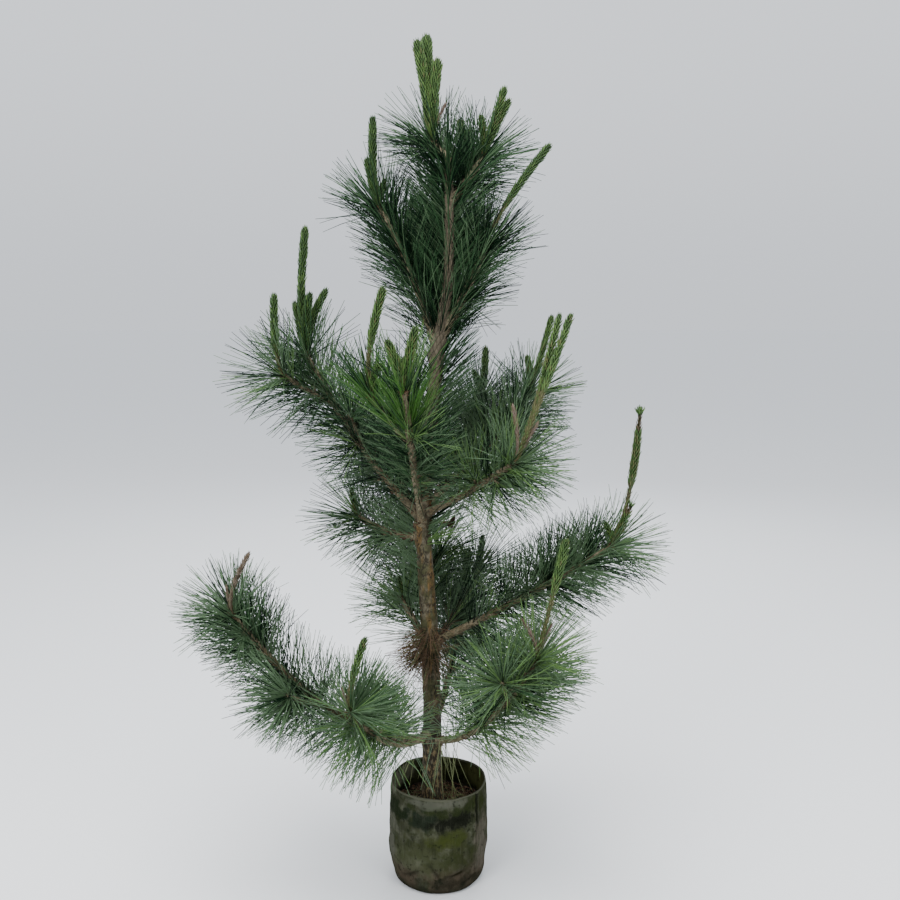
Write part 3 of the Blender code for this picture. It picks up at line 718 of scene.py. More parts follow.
@dataclass(frozen=True)
class FeltFinish:
    """Weathered grey felt: algae, a dark band low down, a near-black band under the rim, pinkish soil marks
    and a pale rim, with creases, the seam's lapped side and a patch low on the front right darkened as
    painted shade.
    """

    name: str = "weathered felt"
    grey: Triple = (0.025, 0.027, 0.016)
    pale: Triple = (0.074, 0.076, 0.054)
    algae: Triple = (0.011, 0.016, 0.004)
    # Near black: dark streaks, spots and the bottom band, and the painted shade of creases and of the seam's
    # side.
    damp: Triple = (0.003, 0.004, 0.002)
    soil: Triple = (0.046, 0.034, 0.024)
    fibre: float = 900.0
    lip_height: float = 0.2085
    felt_patches: tuple[FeltPatch, ...] = (
        FeltPatch((-0.045, -0.090, 0.072), (0.062, 0.050, 0.034), 0.42, (0.078, 0.084, 0.050), 2.6, 30.0),
        FeltPatch((-0.098, -0.010, 0.110), (0.026, 0.060, 0.090), 0.65, (0.080, 0.080, 0.064), 2.2, 34.0),
        FeltPatch((0.088, -0.045, 0.090), (0.024, 0.050, 0.075), 0.65, (0.088, 0.076, 0.062), 2.2, 34.0),
        FeltPatch((0.000, -0.095, 0.098), (0.110, 0.060, 0.052), 0.55, (0.022, 0.027, 0.008), 2.8, 42.0),
        FeltPatch((0.038, -0.092, 0.134), (0.034, 0.040, 0.018), 0.60, (0.028, 0.037, 0.005), 4.2, 34.0),
        FeltPatch((0.010, -0.097, 0.120), (0.034, 0.040, 0.014), 0.60, (0.028, 0.036, 0.006), 3.4, 44.0),
        FeltPatch((-0.030, -0.090, 0.168), (0.056, 0.050, 0.024), 0.88, (0.005, 0.010, 0.006), 2.6, 52.0),
        FeltPatch((-0.082, -0.045, 0.170), (0.034, 0.040, 0.024), 0.90, (0.003, 0.008, 0.002), 2.6, 52.0),
        FeltPatch((0.030, -0.095, 0.164), (0.072, 0.050, 0.023), 0.97, (0.001, 0.002, 0.001), 2.4, 56.0),
        FeltPatch((0.078, -0.060, 0.185), (0.026, 0.040, 0.024), 0.80, (0.012, 0.018, 0.003), 2.4, 50.0),
        FeltPatch((0.015, -0.095, 0.187), (0.075, 0.050, 0.013), 0.65, (0.013, 0.020, 0.005), 3.0, 60.0),
        FeltPatch((-0.020, -0.098, 0.201), (0.080, 0.050, 0.010), 0.55, (0.086, 0.088, 0.070), 2.4, 40.0),
        # Painted shade: a near-black patch low on the front right, where that side of the bag lies in shade.
        FeltPatch((0.030, -0.092, 0.028), (0.060, 0.050, 0.016), 0.70, (0.008, 0.007, 0.004), 2.8, 44.0),
        FeltPatch((0.035, 0.100, 0.150), (0.080, 0.040, 0.040), 0.75, (0.006, 0.009, 0.003), 2.6, 40.0),
        FeltPatch((-0.070, 0.075, 0.120), (0.040, 0.050, 0.050), 0.70, (0.020, 0.026, 0.006), 2.6, 44.0),
    )

    def dress(self) -> Material:
        """Make the material, from the broad clouds to the fibres."""
        sheet = MaterialSheet(self.name, self.grey, 0.97, 0.0)
        sheet.coat(self.pale, 1.0, sheet.mottle(30.0, 0.42, 0.66, 7.0))
        sheet.coat(self.algae, 0.72, sheet.mottle(46.0, 0.44, 0.60, 8.0))
        sheet.coat(self.soil, 0.85, sheet.band(-0.05, 0.062, 0.022, 0.07, 18.0),
                   sheet.mottle(22.0, 0.34, 0.54))
        sheet.coat(self.damp, 0.65, sheet.band(-0.05, 0.020, 0.012, 0.05, 45.0))
        for felt_patch in self.felt_patches:
            mask = sheet.effect(EFFECTS.patch, Middle=felt_patch.middle, Reach=felt_patch.reach, Wander=felt_patch.wander,
                                Scale=felt_patch.scale)
            sheet.coat(felt_patch.colour, felt_patch.strength, mask)
        sheet.coat(self.damp, 0.28, sheet.streaks(120.0, 14.0, 0.52, 0.70))
        sheet.coat(self.pale, 0.25, sheet.streaks(340.0, 36.0, 0.55, 0.75, 8.0))
        sheet.coat(self.damp, 0.70, sheet.mottle(120.0, 0.56, 0.70, 8.0))
        # Painted shade: creases and the seam's one side turn near black by their crack value.
        sheet.coat(self.damp, 1.0, sheet.crack)
        sheet.coat(self.pale, 0.75, sheet.band(self.lip_height, 0.3, 0.0012, 0.002, 30.0))
        fuzz = sheet.mottle(self.fibre, 0.30, 0.70, 8.0)
        sheet.coat(self.pale, 0.16, fuzz)
        return sheet.finish(fuzz, 0.6, 0.0008)


@dataclass(frozen=True)
class LiningFinish(FeltFinish):
    """The felt's inner face, dark olive and damp, and darkened further as painted shade, since that face lies
    in shade.
    """

    name: str = "damp felt lining"
    grey: Triple = (0.015, 0.017, 0.007)
    pale: Triple = (0.030, 0.030, 0.014)
    algae: Triple = (0.007, 0.009, 0.003)
    soil: Triple = (0.011, 0.008, 0.005)
    felt_patches: tuple[FeltPatch, ...] = (
        FeltPatch((0.080, 0.050, 0.190), (0.050, 0.060, 0.030), 0.85, (0.060, 0.063, 0.024), 1.8, 30.0),
        FeltPatch((-0.085, 0.030, 0.195), (0.050, 0.080, 0.034), 0.95, (0.170, 0.172, 0.120), 1.8, 30.0),
    )


@dataclass(frozen=True)
class MixFinish:
    """Dark bark potting mix with a little green on top."""

    dark: Triple = (0.005, 0.004, 0.003)
    brown: Triple = (0.022, 0.014, 0.009)
    green: Triple = (0.034, 0.040, 0.013)

    def dress(self) -> Material:
        """Make the material."""
        sheet = MaterialSheet("potting mix", self.dark, 0.95, 0.25)
        sheet.coat(self.brown, 1.0, sheet.mottle(120.0, 0.42, 0.60))
        sheet.coat(self.green, 0.5, sheet.mottle(30.0, 0.52, 0.66))
        return sheet.finish(sheet.mottle(400.0, 0.3, 0.7), 0.8, 0.0015)


NEEDLE_FINISHES = {
    # Deep green: partly the needles' own dark tone and partly painted shade. It is near black, so that its
    # sprays stand for the shadow deep among the needles.
    Tone.DEEP: PlainFinish("needles deep green", (0.0024, 0.0130, 0.0045), 0.55, 0.10),
    # Blue green: partly the needles' own grey-green and partly painted sheen, pale and bluish like the sky
    # that glossy needles reflect.
    Tone.BLUE: PlainFinish("needles blue green", (0.078, 0.136, 0.066), 0.48, 0.30),
    Tone.MID: PlainFinish("needles mid green", (0.028, 0.070, 0.027), 0.48, 0.20),
    # Bright green: partly the colour of fresh needles and partly painted light, dealt most to the lit end of
    # a mass.
    Tone.BRIGHT: PlainFinish("needles bright green", (0.042, 0.120, 0.015), 0.45, 0.3),
    Tone.FRESH: PlainFinish("needles fresh green", (0.098, 0.184, 0.052), 0.48, 0.3),
    Tone.OLD: PlainFinish("needles old", (0.145, 0.170, 0.070), 0.60, 0.3),
    Tone.DEAD: PlainFinish("needles dead", (0.138, 0.086, 0.050), 0.70, 0.2),
    Tone.SHEATH: PlainFinish("needle sheaths", (0.035, 0.028, 0.018), 0.75, 0.2),
}


def plain_set(name: str, colours: Sequence[Triple], roughness: float, specular: float) -> list[Material]:
    """Make one plain material of each colour, numbered in order."""
    return [PlainFinish(f"{name} {number}", colour, roughness, specular).dress()
            for number, colour in enumerate(colours)]


def put_in_scene(name: str, data: Any) -> Object:
    """Make an object of a mesh, a lamp or a camera and link it."""
    made = bpy.data.objects.new(name, data)
    bpy.context.scene.collection.objects.link(made)
    return made


def hand_over(made: Object, slot: Slot, nodes: Sequence[str] = ()) -> None:
    """Shade a piece smooth and tie it to its body and replaced nodes.

    Args:
        made: The finished object.
        slot: The record's material slot that its finish comes from. Not used.
        nodes: The source's nodes that it stands for.
    """
    made.data.shade_smooth()
    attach(made, BODY)
    if nodes:
        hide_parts(*nodes)
    LOG.info("%s: %d triangles", made.name, sum(len(face.vertices) - 2 for face in made.data.polygons))


class MeshMaker:
    """Gathers swept limbs and turned walls into one mesh with a crack value."""

    def __init__(self) -> None:
        """Start empty."""
        self.places: list[Triple] = []
        self.faces: list[tuple[int, ...]] = []
        self.cracks: list[float] = []
        self.fills: list[int] = []

    def add_point(self, place: Iterable[float], crack: float = 0.0) -> int:
        """Add one vertex and give its number."""
        self.places.append(tuple(place))
        self.cracks.append(crack)
        return len(self.places) - 1

    def add_rings(self, rings: Sequence[Sequence[int]], fill: int = 0) -> None:
        """Join rings of vertices to a wall of four-sided faces."""
        for lower, upper in zip(rings, rings[1:]):
            for side, vertex in enumerate(lower):
                after = (side + 1) % len(lower)
                self.faces.append((vertex, lower[after], upper[after], upper[side]))
                self.fills.append(fill)

    def add_fan(self, ring: Sequence[int], pole: Vector, flip: bool, fill: int = 0) -> None:
        """Close a ring with a fan of triangles to a pole."""
        middle = self.add_point(pole)
        for side, vertex in enumerate(ring):
            after = ring[(side + 1) % len(ring)]
            self.faces.append((after, vertex, middle) if flip else (vertex, after, middle))
            self.fills.append(fill)

    def sweep(self, points: Sequence[Vector], radii: Sequence[float], sides: int, relief: Relief,
              fill: int = 0) -> None:
        """Add a closed limb.

        Args:
            points: Its middle line.
            radii: Its radius at each point.
            sides: How many vertices go round it.
            relief: Gives the lift and the crack value at a place, an angle and a length.
            fill: The number of its material.
        """
        along = (points[1] - points[0]).normalized()
        side = along.orthogonal().normalized()
        rings = []
        travelled = 0.0
        for place, point in enumerate(points):
            along = (points[min(place + 1, len(points) - 1)] - points[max(place - 1, 0)]).normalized()
            side = (side - along * side.dot(along)).normalized()
            other = along.cross(side)
            travelled += (point - points[place - 1]).length if place else 0.0
            rings.append([])
            for step in range(sides):
                angle = math.tau * step / sides
                out = leant(side, other, angle)
                spot = point + out * radii[place]
                lift, crack = relief(spot, angle, travelled)
                rings[-1].append(self.add_point(spot + out * lift, crack))
        self.add_rings(rings, fill)
        self.add_fan(rings[0], points[0], True, fill)
        self.add_fan(rings[-1], points[-1] + along * (radii[-1] * 0.5), False, fill)

    def build(self, name: str, *materials: Material) -> Object:
        """Turn what was gathered into an object."""
        mesh = bpy.data.meshes.new(name)
        mesh.from_pydata(self.places, [], self.faces)
        for material in materials:
            mesh.materials.append(material)
        mesh.polygons.foreach_set("material_index", self.fills)
        mesh.attributes.new("crack", "FLOAT", "POINT").data.foreach_set("value", self.cracks)
        return put_in_scene(name, mesh)


@dataclass(frozen=True)
class Cushions:
    """Relief of young bark: rows of long leaf cushions that wind round a limb."""

    rows: int = 7
    pitch: float = 0.0075
    depth: float = 0.00055

    def __call__(self, place: Vector, angle: float, along: float) -> tuple[float, float]:
        """The lift and the crack value at a place."""
        drift = noise.noise(place * 55.0)
        turn = angle / math.tau * self.rows + 0.35 * drift
        step = along / self.pitch + 0.6 * noise.noise(place * 38.0 + UP)
        edge = min(0.5 - abs(share % 1.0 - 0.5) for share in (turn + step / 2, turn - step / 2)) * 2.0
        lift = self.depth * (smooth_step(0.0, 0.8, edge) - 0.6 + 0.5 * drift)
        return lift, (1.0 - smooth_step(0.04, 0.34, edge)) * 0.85


@dataclass(frozen=True)
class TrunkBark:
    """Relief of the trunk: broken scaly plates low down that give way to leaf cushions,
    collars where boughs leave and ring scars at each year's end."""

    plate: float = 0.0040
    stretch: float = 2.8
    depth: float = 0.0011
    turn_over: float = 1.00
    flare: float = 0.0075
    flare_height: float = 0.022
    lobes: int = 5
    collar: float = 0.0042
    collar_height: float = 0.015
    collar_arc: float = 0.55
    year_rings: tuple[float, ...] = (0.318, 0.512, 0.782, 1.138, 1.412)
    ring_depth: float = 0.0011
    ring_height: float = 0.0035

    def __call__(self, place: Vector, angle: float, along: float) -> tuple[float, float]:
        """The lift and the crack value at a place."""
        warp = noise.noise_vector(place * 45.0) * 0.0050 + noise.noise_vector(place * 160.0) * 0.0014
        spot = Vector((place.x, place.y, place.z / self.stretch)) + warp
        distances = noise.voronoi(spot / self.plate)[0]
        crack = 1.0 - smooth_step(0.02, 0.30, distances[1] - distances[0])
        crack *= smooth_step(-0.45, 0.35, noise.noise(place * 85.0 + UP))
        level = noise.cell(spot / self.plate * 0.7)
        lift = self.depth * (0.45 * level - crack) + 0.0005 * noise.noise(place * 240.0)
        young = smooth_step(self.turn_over - 0.25, self.turn_over + 0.2, place.z)
        if young > 0.0:
            cushion, furrow = Cushions(9, 0.011, 0.0010)(place, angle, along)
            lift += (cushion - lift) * young
            crack += (furrow - crack) * young
        return lift + self.swelling(place), crack

    def swelling(self, place: Vector) -> float:
        """How far the surface swells for the flare, the collars and the ring scars."""
        middle = TRUNK_LINE.at(place.z)
        turn = math.atan2(place.y - middle.y, place.x - middle.x)
        fall = math.exp(-max(0.0, place.z - TRUNK_LINE.foot) / self.flare_height)
        swell = self.flare * fall * (0.7 + 0.3 * math.cos(self.lobes * turn))
        for bough in BOUGHS:
            rise = (place.z - bough.height + 0.004) / self.collar_height
            if abs(rise) < 3.0:
                aside = math.remainder(turn - math.radians(bough.heading), math.tau) / self.collar_arc
                swell += self.collar * math.exp(-rise * rise - aside * aside)
        for ring in self.year_rings:
            rise = (place.z - ring) / self.ring_height
            if abs(rise) < 3.0:
                swell += self.ring_depth * math.exp(-rise * rise)
        return swell


@dataclass
class Run:
    """A clothed stretch of a limb: its points, its radius at both ends, the length
    without needles at its start, how thickly it is set, how long its needles are,
    whether its tip has a crown of needles, how far they spread in degrees at both ends
    where not by the rule, the one side that they stand on, and whether all of it takes
    the palette that is nearer the trunk."""

    points: list[Vector]
    radii: tuple[float, float]
    bare: float
    density: float = 1.0
    length: float = 1.0
    crown: bool = True
    spreads: tuple[float, float] | None = None
    side: TrunkSide | None = None
    inside: bool = False

    def radius(self, share: float) -> float:
        """The limb's radius at a share of its length."""
        return self.radii[0] + (self.radii[1] - self.radii[0]) * share


@dataclass
class Growth:
    """What one mass grows: its clothed runs, and its new shoots with root and heading."""

    name: str
    palette: Palette
    inner: Palette | None = None
    lift: float = 0.0
    comb: float = 0.0
    density: float = 1.0
    runs: list[Run] = field(default_factory=list)
    limbs: list[Run] = field(default_factory=list)
    shoots: list[tuple[Shoot, Vector, Vector]] = field(default_factory=list)

    def add_limb(self, limb: Run) -> list[Vector]:
        """Add a run that is a limb of its own, and give its points."""
        self.runs.append(limb)
        self.limbs.append(limb)
        return limb.points


@dataclass(frozen=True)
class GrowthRule:
    """The source's rule for stems and side twigs, carried on to short spurs."""

    joint_straight: float = 0.006
    stem_steps: int = 3
    fine_steps: int = 24
    tip_radius: float = 0.0058
    stem_tip_radius: float = 0.0046
    twig_root_radius: float = 0.0042
    twig_radius: float = 0.0038
    twig_first: float = 0.22
    twig_next: float = 0.30
    twig_loose: float = 0.12
    twig_spread: float = 0.95
    twig_lift: float = 0.45
    twig_share: float = 0.42
    twig_bare: float = 0.028
    twig_seed: int = 200
    needle_start: float = 0.009
    shoot_sink: float = 0.002
    thin_start: float = 0.001
    thin_density: float = 0.75
    thin_length: float = 0.96
    side_spreads: tuple[float, float] = (66.0, 46.0)
    sleeve_from: float = 1.105
    sleeve_to: float = 1.458
    sleeve_spreads: tuple[float, float] = (40.0, 56.0)
    leader_stem: float = 0.030
    leader_lean: float = -1.10
    top_density: float = 2.4
    top_start: float = 0.004
    spur_step: float = 0.046
    spur_length: float = 0.026
    spur_radius: float = 0.0026
    spur_bare: float = 0.008
    spur_needles: float = 0.82
    spur_seed: int = 300

    def bough(self, bough: Bough, number: int) -> Growth:
        """Grow one bough's mass, with the same draws as the source.

        Args:
            bough: The bough that carries it.
            number: Its place in the list of boughs.

        Returns:
            Its stem, twigs, forks, spurs and shoots.
        """
        placer = random.Random(self.twig_seed + number)
        growth = Growth(bough.name + "_needles", bough.palette, bough.inner, bough.lift, bough.comb,
                        bough.density)
        stem = bough.stem(self.stem_steps, self.joint_straight)
        fine = bough.stem(self.fine_steps, self.joint_straight)
        growth.runs.append(Run(fine, (self.tip_radius, self.stem_tip_radius), self.needle_start))
        side = 1.0 if number % 2 else -1.0
        for twig in range(bough.twigs):
            share = self.twig_first + self.twig_next * twig + placer.uniform(0.0, self.twig_loose)
            knot, along = point_along(stem, share)
            level = along.cross(UP).normalized() * side
            side = -side
            aim = along + level * self.twig_spread + UP * placer.uniform(0.0, self.twig_lift)
            tip = knot + aim.normalized() * (run_length(stem) * self.twig_share)
            self.branch(growth, point_along(fine, share)[0], tip, self.twig_root_radius, self.twig_radius)
        heads = [(fine, bough.shoots)]
        for fork in bough.forks:
            tip = point_along(stem, fork.share)[0] + Vector(fork.run)
            line = self.branch(growth, point_along(fine, fork.share)[0], tip, self.stem_tip_radius,
                               self.stem_tip_radius)
            heads.append((line, fork.shoots))
        for line, shoots in heads:
            along = (line[-1] - line[-2]).normalized()
            growth.shoots += [(shoot, line[-1] - along * self.shoot_sink, along) for shoot in shoots]
        self.add_spurs(growth, random.Random(self.spur_seed + number))
        self.add_thin(growth, bough)
        return growth

    def add_thin(self, growth: Growth, bough: Bough) -> None:
        """Set thin needles on a bough's bare part and on the trunk beside it."""
        line = bow(bough.curve(), 8, bough.bare * bough.clad, bough.bare)
        growth.runs.append(Run(line, (bough.girth, self.tip_radius), self.thin_start, self.thin_density,
                               self.thin_length, False, inside=True))
        for side in bough.sides:
            radii = (TRUNK_LINE.radius(side.low), TRUNK_LINE.radius(side.high))
            line = TRUNK_LINE.stretch(side.low, side.high, 8)
            growth.runs.append(Run(line, radii, self.thin_start, side.density, self.thin_length, False,
                                   self.side_spreads, side, True))

    def branch(self, growth: Growth, knot: Vector, tip: Vector, thick: float, thin: float) -> list[Vector]:
        """Add a side limb that leaves its stem and curves up a little to its tip."""
        hang = (knot + tip) / 2 - UP * (0.05 * (tip - knot).length)
        return growth.add_limb(Run(bow((knot, hang, tip), 10), (thick, thin), self.twig_bare))

    def add_spurs(self, growth: Growth, chooser: random.Random) -> None:
        """Set short spurs, each with a tuft, along the runs that a mass already has."""
        for run in list(growth.runs):
            whole = run_length(run.points)
            for place in range(int((whole - run.bare - 0.02) / self.spur_step)):
                share = (run.bare + (place + chooser.uniform(0.3, 0.9)) * self.spur_step) / whole
                knot, along = point_along(run.points, share)
                aim = turned(along, math.radians(chooser.uniform(40.0, 62.0)), chooser.uniform(0.0, math.tau))
                tip = knot + (aim + UP * 0.25).normalized() * (self.spur_length * chooser.uniform(0.7, 1.2))
                line = bow((knot, (knot + tip) / 2 - UP * 0.001, tip), 4)
                growth.add_limb(Run(line, (self.spur_radius * 1.2, self.spur_radius), self.spur_bare, 1.0,
                                    self.spur_needles, inside=run is growth.runs[0] and share < 0.6))

    def sleeve(self) -> Growth:
        """The needles that the trunk itself carries."""
        growth = Growth("trunk_needles", Palette.CROWN, lift=0.15)
        radii = (TRUNK_LINE.radius(self.sleeve_from), TRUNK_LINE.radius(self.sleeve_to))
        line = TRUNK_LINE.stretch(self.sleeve_from, self.sleeve_to, 12)
        growth.runs.append(Run(line, radii, self.top_start, self.top_density, 1.0, False,
                               self.sleeve_spreads))
        return growth

    def leader(self) -> Growth:
        """The leader: a short stem on the trunk's tip with its tall shoots."""
        growth = Growth("leader_needles", Palette.CROWN, lift=0.25)
        foot = TRUNK_LINE.at(TRUNK_LINE.top)
        knee = foot + UP * self.joint_straight
        tip = knee + Vector((self.leader_lean, 0.0, 1.0)) * self.leader_stem
        radii = (TRUNK_LINE.radius(TRUNK_LINE.top), self.tip_radius)
        growth.add_limb(Run([foot - UP * 0.012, foot, knee, knee.lerp(tip, 0.5), tip], radii,
                            self.top_start, self.top_density))
        growth.shoots += [(shoot, tip - UP * (2.0 * self.shoot_sink), UP) for shoot in LEADER_SHOOTS]
        return growth


@dataclass(frozen=True)
class ShootRule:
    """The source's new shoots, with a rounded head and a spiral of scales."""

    bend: float = 0.3
    girth: float = 0.085
    least_girth: float = 0.0015
    stem_radius: float = 0.0040
    head_radius: float = 0.0096
    slim_share: float = 0.40
    core_share: float = 0.66
    step: float = 0.004
    scale_pitch: float = 0.0049
    scale_length: float = 0.0120
    scale_spread: float = 28.0
    bract_step: float = 0.0044

    def head_width(self, shoot: Shoot) -> float:
        """The radius of a shoot's head, which is slim on the pink and brown ones."""
        slim = {GREEN: 1.0, DEEP: 1.0, OLIVE: 1.05}.get(shoot.tone, self.slim_share)
        return slim * shoot.stout * min(self.head_radius, self.girth * shoot.length + self.least_girth)

    def line(self, shoot: Shoot, root: Vector, along: Vector) -> tuple[list[Vector], list[float]]:
        """A shoot's middle line and the radius of its core.

        Args:
            shoot: The shoot.
            root: Where it leaves its stem.
            along: The stem's direction there.

        Returns:
            Its points and its radii.
        """
        lean = Vector((math.tan(math.radians(shoot.lean_x)), math.tan(math.radians(shoot.lean_y)), 1.0))
        tip = root + lean.normalized() * shoot.length
        bend = root + (along + UP).normalized() * (self.bend * shoot.length)
        fine = bow((root, bend, tip), 40)
        shares = even(0.0, 1.0, max(8, round(shoot.length / self.step)))
        return ([point_along(fine, share)[0] for share in shares],
                [self.core_radius(shoot, share) for share in shares])

    def core_radius(self, shoot: Shoot, share: float) -> float:
        """The core's radius at a share of a shoot's length."""
        wide = self.head_width(shoot) * self.core_share
        neck = min(self.stem_radius * 0.92, wide)
        if share <= 1.0 - shoot.head:
            return neck
        clothed = (share - (1.0 - shoot.head)) / shoot.head
        swell = neck + (wide - neck) * smooth_step(0.0, 0.28, clothed) * (1.0 - 0.22 * clothed)
        if shoot.tone is OLIVE:
            swell = neck + (wide - neck) * math.sin(math.pi * min(1.0, 0.12 + 1.15 * clothed))
            swell -= 0.30 * neck * math.exp(-((clothed - 0.86) / 0.07) ** 2)
            swell += 0.002 * smooth_step(0.91, 0.97, clothed)
        left = (1.0 - share) * shoot.length
        return swell * math.sqrt(max(0.02, 1.0 - (1.0 - min(1.0, left / (1.5 * wide))) ** 2))


@dataclass
class Sprigs:
    """Points that each carry one slim blade: where it stands, which way it points, which
    way its tip bends, how large it is, its tone and the limb that carries it."""

    rows: list[tuple[Vector, Vector, Vector, float, int, int]] = field(default_factory=list)

    def add(self, root: Vector, aim: Vector, lean: Vector, size: float, tone: int = 0,
            owner: int = -1) -> None:
        """Add one blade."""
        self.rows.append((root, aim, lean, size, tone, owner))

    def keep(self, wanted: np.ndarray) -> None:
        """Drop every blade whose mark is not set."""
        self.rows = [row for row, kept in zip(self.rows, wanted) if kept]

    def column(self, number: int) -> np.ndarray:
        """One fact of every blade."""
        return np.array([row[number] for row in self.rows])

    def reaches(self, length: float) -> np.ndarray:
        """The way from each blade's root to its end, where a blade of size 1 has this length."""
        return self.column(1) * (self.column(3)[:, None] * length)

    def carrier(self, name: str) -> Object:
        """A mesh of loose points with the blades' facts as attributes."""
        mesh = bpy.data.meshes.new(name)
        mesh.vertices.add(len(self.rows))
        mesh.vertices.foreach_set("co", self.column(0).astype(np.float32).ravel())
        facts = (("aim", "FLOAT_VECTOR", "vector", np.float32),
                 ("lean", "FLOAT_VECTOR", "vector", np.float32),
                 ("size", "FLOAT", "value", np.float32), ("tone", "INT", "value", np.int32))
        for number, (label, kind, values, form) in enumerate(facts, 1):
            data = mesh.attributes.new(label, kind, "POINT").data
            data.foreach_set(values, self.column(number).astype(form).ravel())
        return put_in_scene(name, mesh)


def set_off(carrier: Object, tree: NodeTree, sizes: dict[str, float]) -> Object:
    """Evaluate a Geometry Nodes tree and keep its result as the object's plain mesh.

    Args:
        carrier: The object that the tree reads.
        tree: The tree.
        sizes: The tree's named inputs.

    Returns:
        The same object with the new mesh.
    """
    modifier = carrier.modifiers.new(tree.name, "NODES")
    modifier.node_group = tree
    for item in tree.interface.items_tree:
        if item.item_type == "SOCKET" and item.in_out == "INPUT" and item.name in sizes:
            modifier[item.identifier] = sizes[item.name]
    graph = bpy.context.evaluated_depsgraph_get()
    mesh = bpy.data.meshes.new_from_object(carrier.evaluated_get(graph))
    carrier.modifiers.remove(modifier)
    spent = carrier.data
    carrier.data = mesh
    bpy.data.meshes.remove(spent)
    return carrier


class BladeTree:
    """A Geometry Nodes tree that stands a curved, tapering blade on every point."""

    SIZES = {"Length": 0.1, "Root Radius": 0.001, "Tip Radius": 0.0002, "Fullness": 3.0}

    def __init__(self, name: str, sides: int, steps: int, bends: Sequence[float],
                 materials: Sequence[Material]) -> None:
        """Wire the tree.

        Args:
            name: The tree's name.
            sides: How many sides a blade has.
            steps: How many pieces it has along its length: 1 if straight, else 3 or more.
            bends: How far the tips bend aside, as shares of the length, one blade each.
            materials: The material of each tone, in order.
        """
        self.sheet, self.given = Sheet.geometry(name, self.SIZES)
        sheet = self.sheet
        blades = sheet.put("GeometryNodeJoinGeometry")
        for bend in reversed(bends):
            blade = self.blade(sides, steps, bend)
            sheet.feed(blades.inputs[0], sheet.get("GeometryNodeGeometryToInstance", {0: blade}))
        choice = {"Min": 0, "Max": len(bends) - 1, "Seed": 5}
        sheet.deal_out(self.fact("tone", "INT"), materials, {
            "Points": self.given["Geometry"], "Instance": sheet.out(blades), "Pick Instance": True,
            "Instance Index": sheet.get("FunctionNodeRandomValue", choice, data_type="INT"),
            "Rotation": self.rotation(), "Scale": self.fact("size", "FLOAT")})

    def fact(self, name: str, kind: str) -> NodeSocket:
        """Read one of the points' attributes."""
        return self.sheet.get("GeometryNodeInputNamedAttribute", {"Name": name}, data_type=kind)

    def rotation(self) -> NodeSocket:
        """Turn a blade's length to its aim and its bend to its lean."""
        aim, lean = [self.fact(name, "FLOAT_VECTOR") for name in ("aim", "lean")]
        first = self.sheet.get("FunctionNodeAlignRotationToVector", {"Vector": aim}, axis="Z")
        return self.sheet.get("FunctionNodeAlignRotationToVector", {"Rotation": first, "Vector": lean},
                              axis="X", pivot_axis="Z")

    def blade(self, sides: int, steps: int, bend: float) -> NodeSocket:
        """One blade along +Z whose tip bends to +X."""
        sheet, given = self.sheet, self.given
        middle, end = [
            sheet.get("ShaderNodeVectorMath", {0: share, "Scale": given["Length"]}, operation="SCALE")
            for share in ((0.0, 0.0, 0.5), (bend, 0.0, math.sqrt(1.0 - bend * bend)))]
        if steps == 1:
            line = sheet.get("GeometryNodeCurvePrimitiveLine", {"Start": (0.0, 0.0, 0.0), "End": end})
        else:
            line = sheet.get("GeometryNodeCurveQuadraticBezier", {
                "Resolution": steps, "Start": (0.0, 0.0, 0.0), "Middle": middle, "End": end})
        share = sheet.out(sheet.put("GeometryNodeSplineParameter"), "Factor")
        girth = sheet.get("ShaderNodeMapRange", {
            "Value": sheet.sum_up("POWER", share, given["Fullness"]),
            "To Min": given["Root Radius"], "To Max": given["Tip Radius"]})
        ring = sheet.get("GeometryNodeCurvePrimitiveCircle", {"Resolution": sides, "Radius": 1.0})
        return sheet.get("GeometryNodeCurveToMesh", {
            "Curve": line, "Profile Curve": ring, "Scale": girth, "Fill Caps": True})

    def grow(self, name: str, sprigs: Sprigs, *sizes: float) -> Object:
        """Stand the blades on a set of points and give the joined piece."""
        return set_off(sprigs.carrier(name), self.sheet.tree, dict(zip(self.SIZES, sizes)))


def segment_gaps(start: np.ndarray, end: np.ndarray, starts: np.ndarray, ends: np.ndarray) -> np.ndarray:
    """Shortest distances from one segment to many, by sliding both ends in turn.

    Args:
        start: One end of the single segment.
        end: Its other end.
        starts: First ends of the many segments, one row each.
        ends: Their other ends.

    Returns:
        One distance for each of the many.
    """
    own = end - start
    theirs = ends - starts
    offset = start - starts
    own_square = own @ own
    their_square = np.maximum((theirs * theirs).sum(1), 1e-12)
    mixed = theirs @ own
    own_offset = offset @ own
    their_offset = (theirs * offset).sum(1)
    spread = np.maximum(own_square * their_square - mixed * mixed, 1e-15)
    here = np.clip((mixed * their_offset - own_offset * their_square) / spread, 0.0, 1.0)
    there = np.clip((mixed * here + their_offset) / their_square, 0.0, 1.0)
    here = np.clip((mixed * there - own_offset) / own_square, 0.0, 1.0)
    apart = offset + here[:, None] * own - there[:, None] * theirs
    return np.sqrt((apart * apart).sum(1))


@dataclass
class Obstacles:
    """Round bars that needles keep off, each with the number of its limb."""

    bars: list[tuple[Vector, Vector, float, int]] = field(default_factory=list)
    clear_from: float = 0.16

    def add_line(self, points: Sequence[Vector], radii: Sequence[float], owner: int, stride: int = 1) -> None:
        """Add a limb's bars."""
        chosen = [*range(0, len(points) - 1, stride), len(points) - 1]
        for first, last in zip(chosen, chosen[1:]):
            self.bars.append((points[first], points[last], max(radii[first], radii[last]), owner))

    def free(self, sprigs: Sprigs, length: float) -> np.ndarray:
        """Mark the blades that run clear of every limb but their own."""
        roots, reaches, owners = sprigs.column(0), sprigs.reaches(length), sprigs.column(5)
        starts, ends = roots + reaches * self.clear_from, roots + reaches
        free = np.ones(len(roots), dtype=bool)
        for start, end, radius, owner in self.bars:
            gaps = segment_gaps(np.array(start), np.array(end), starts, ends)
            free &= (gaps > radius) | (owners == owner)
        return free


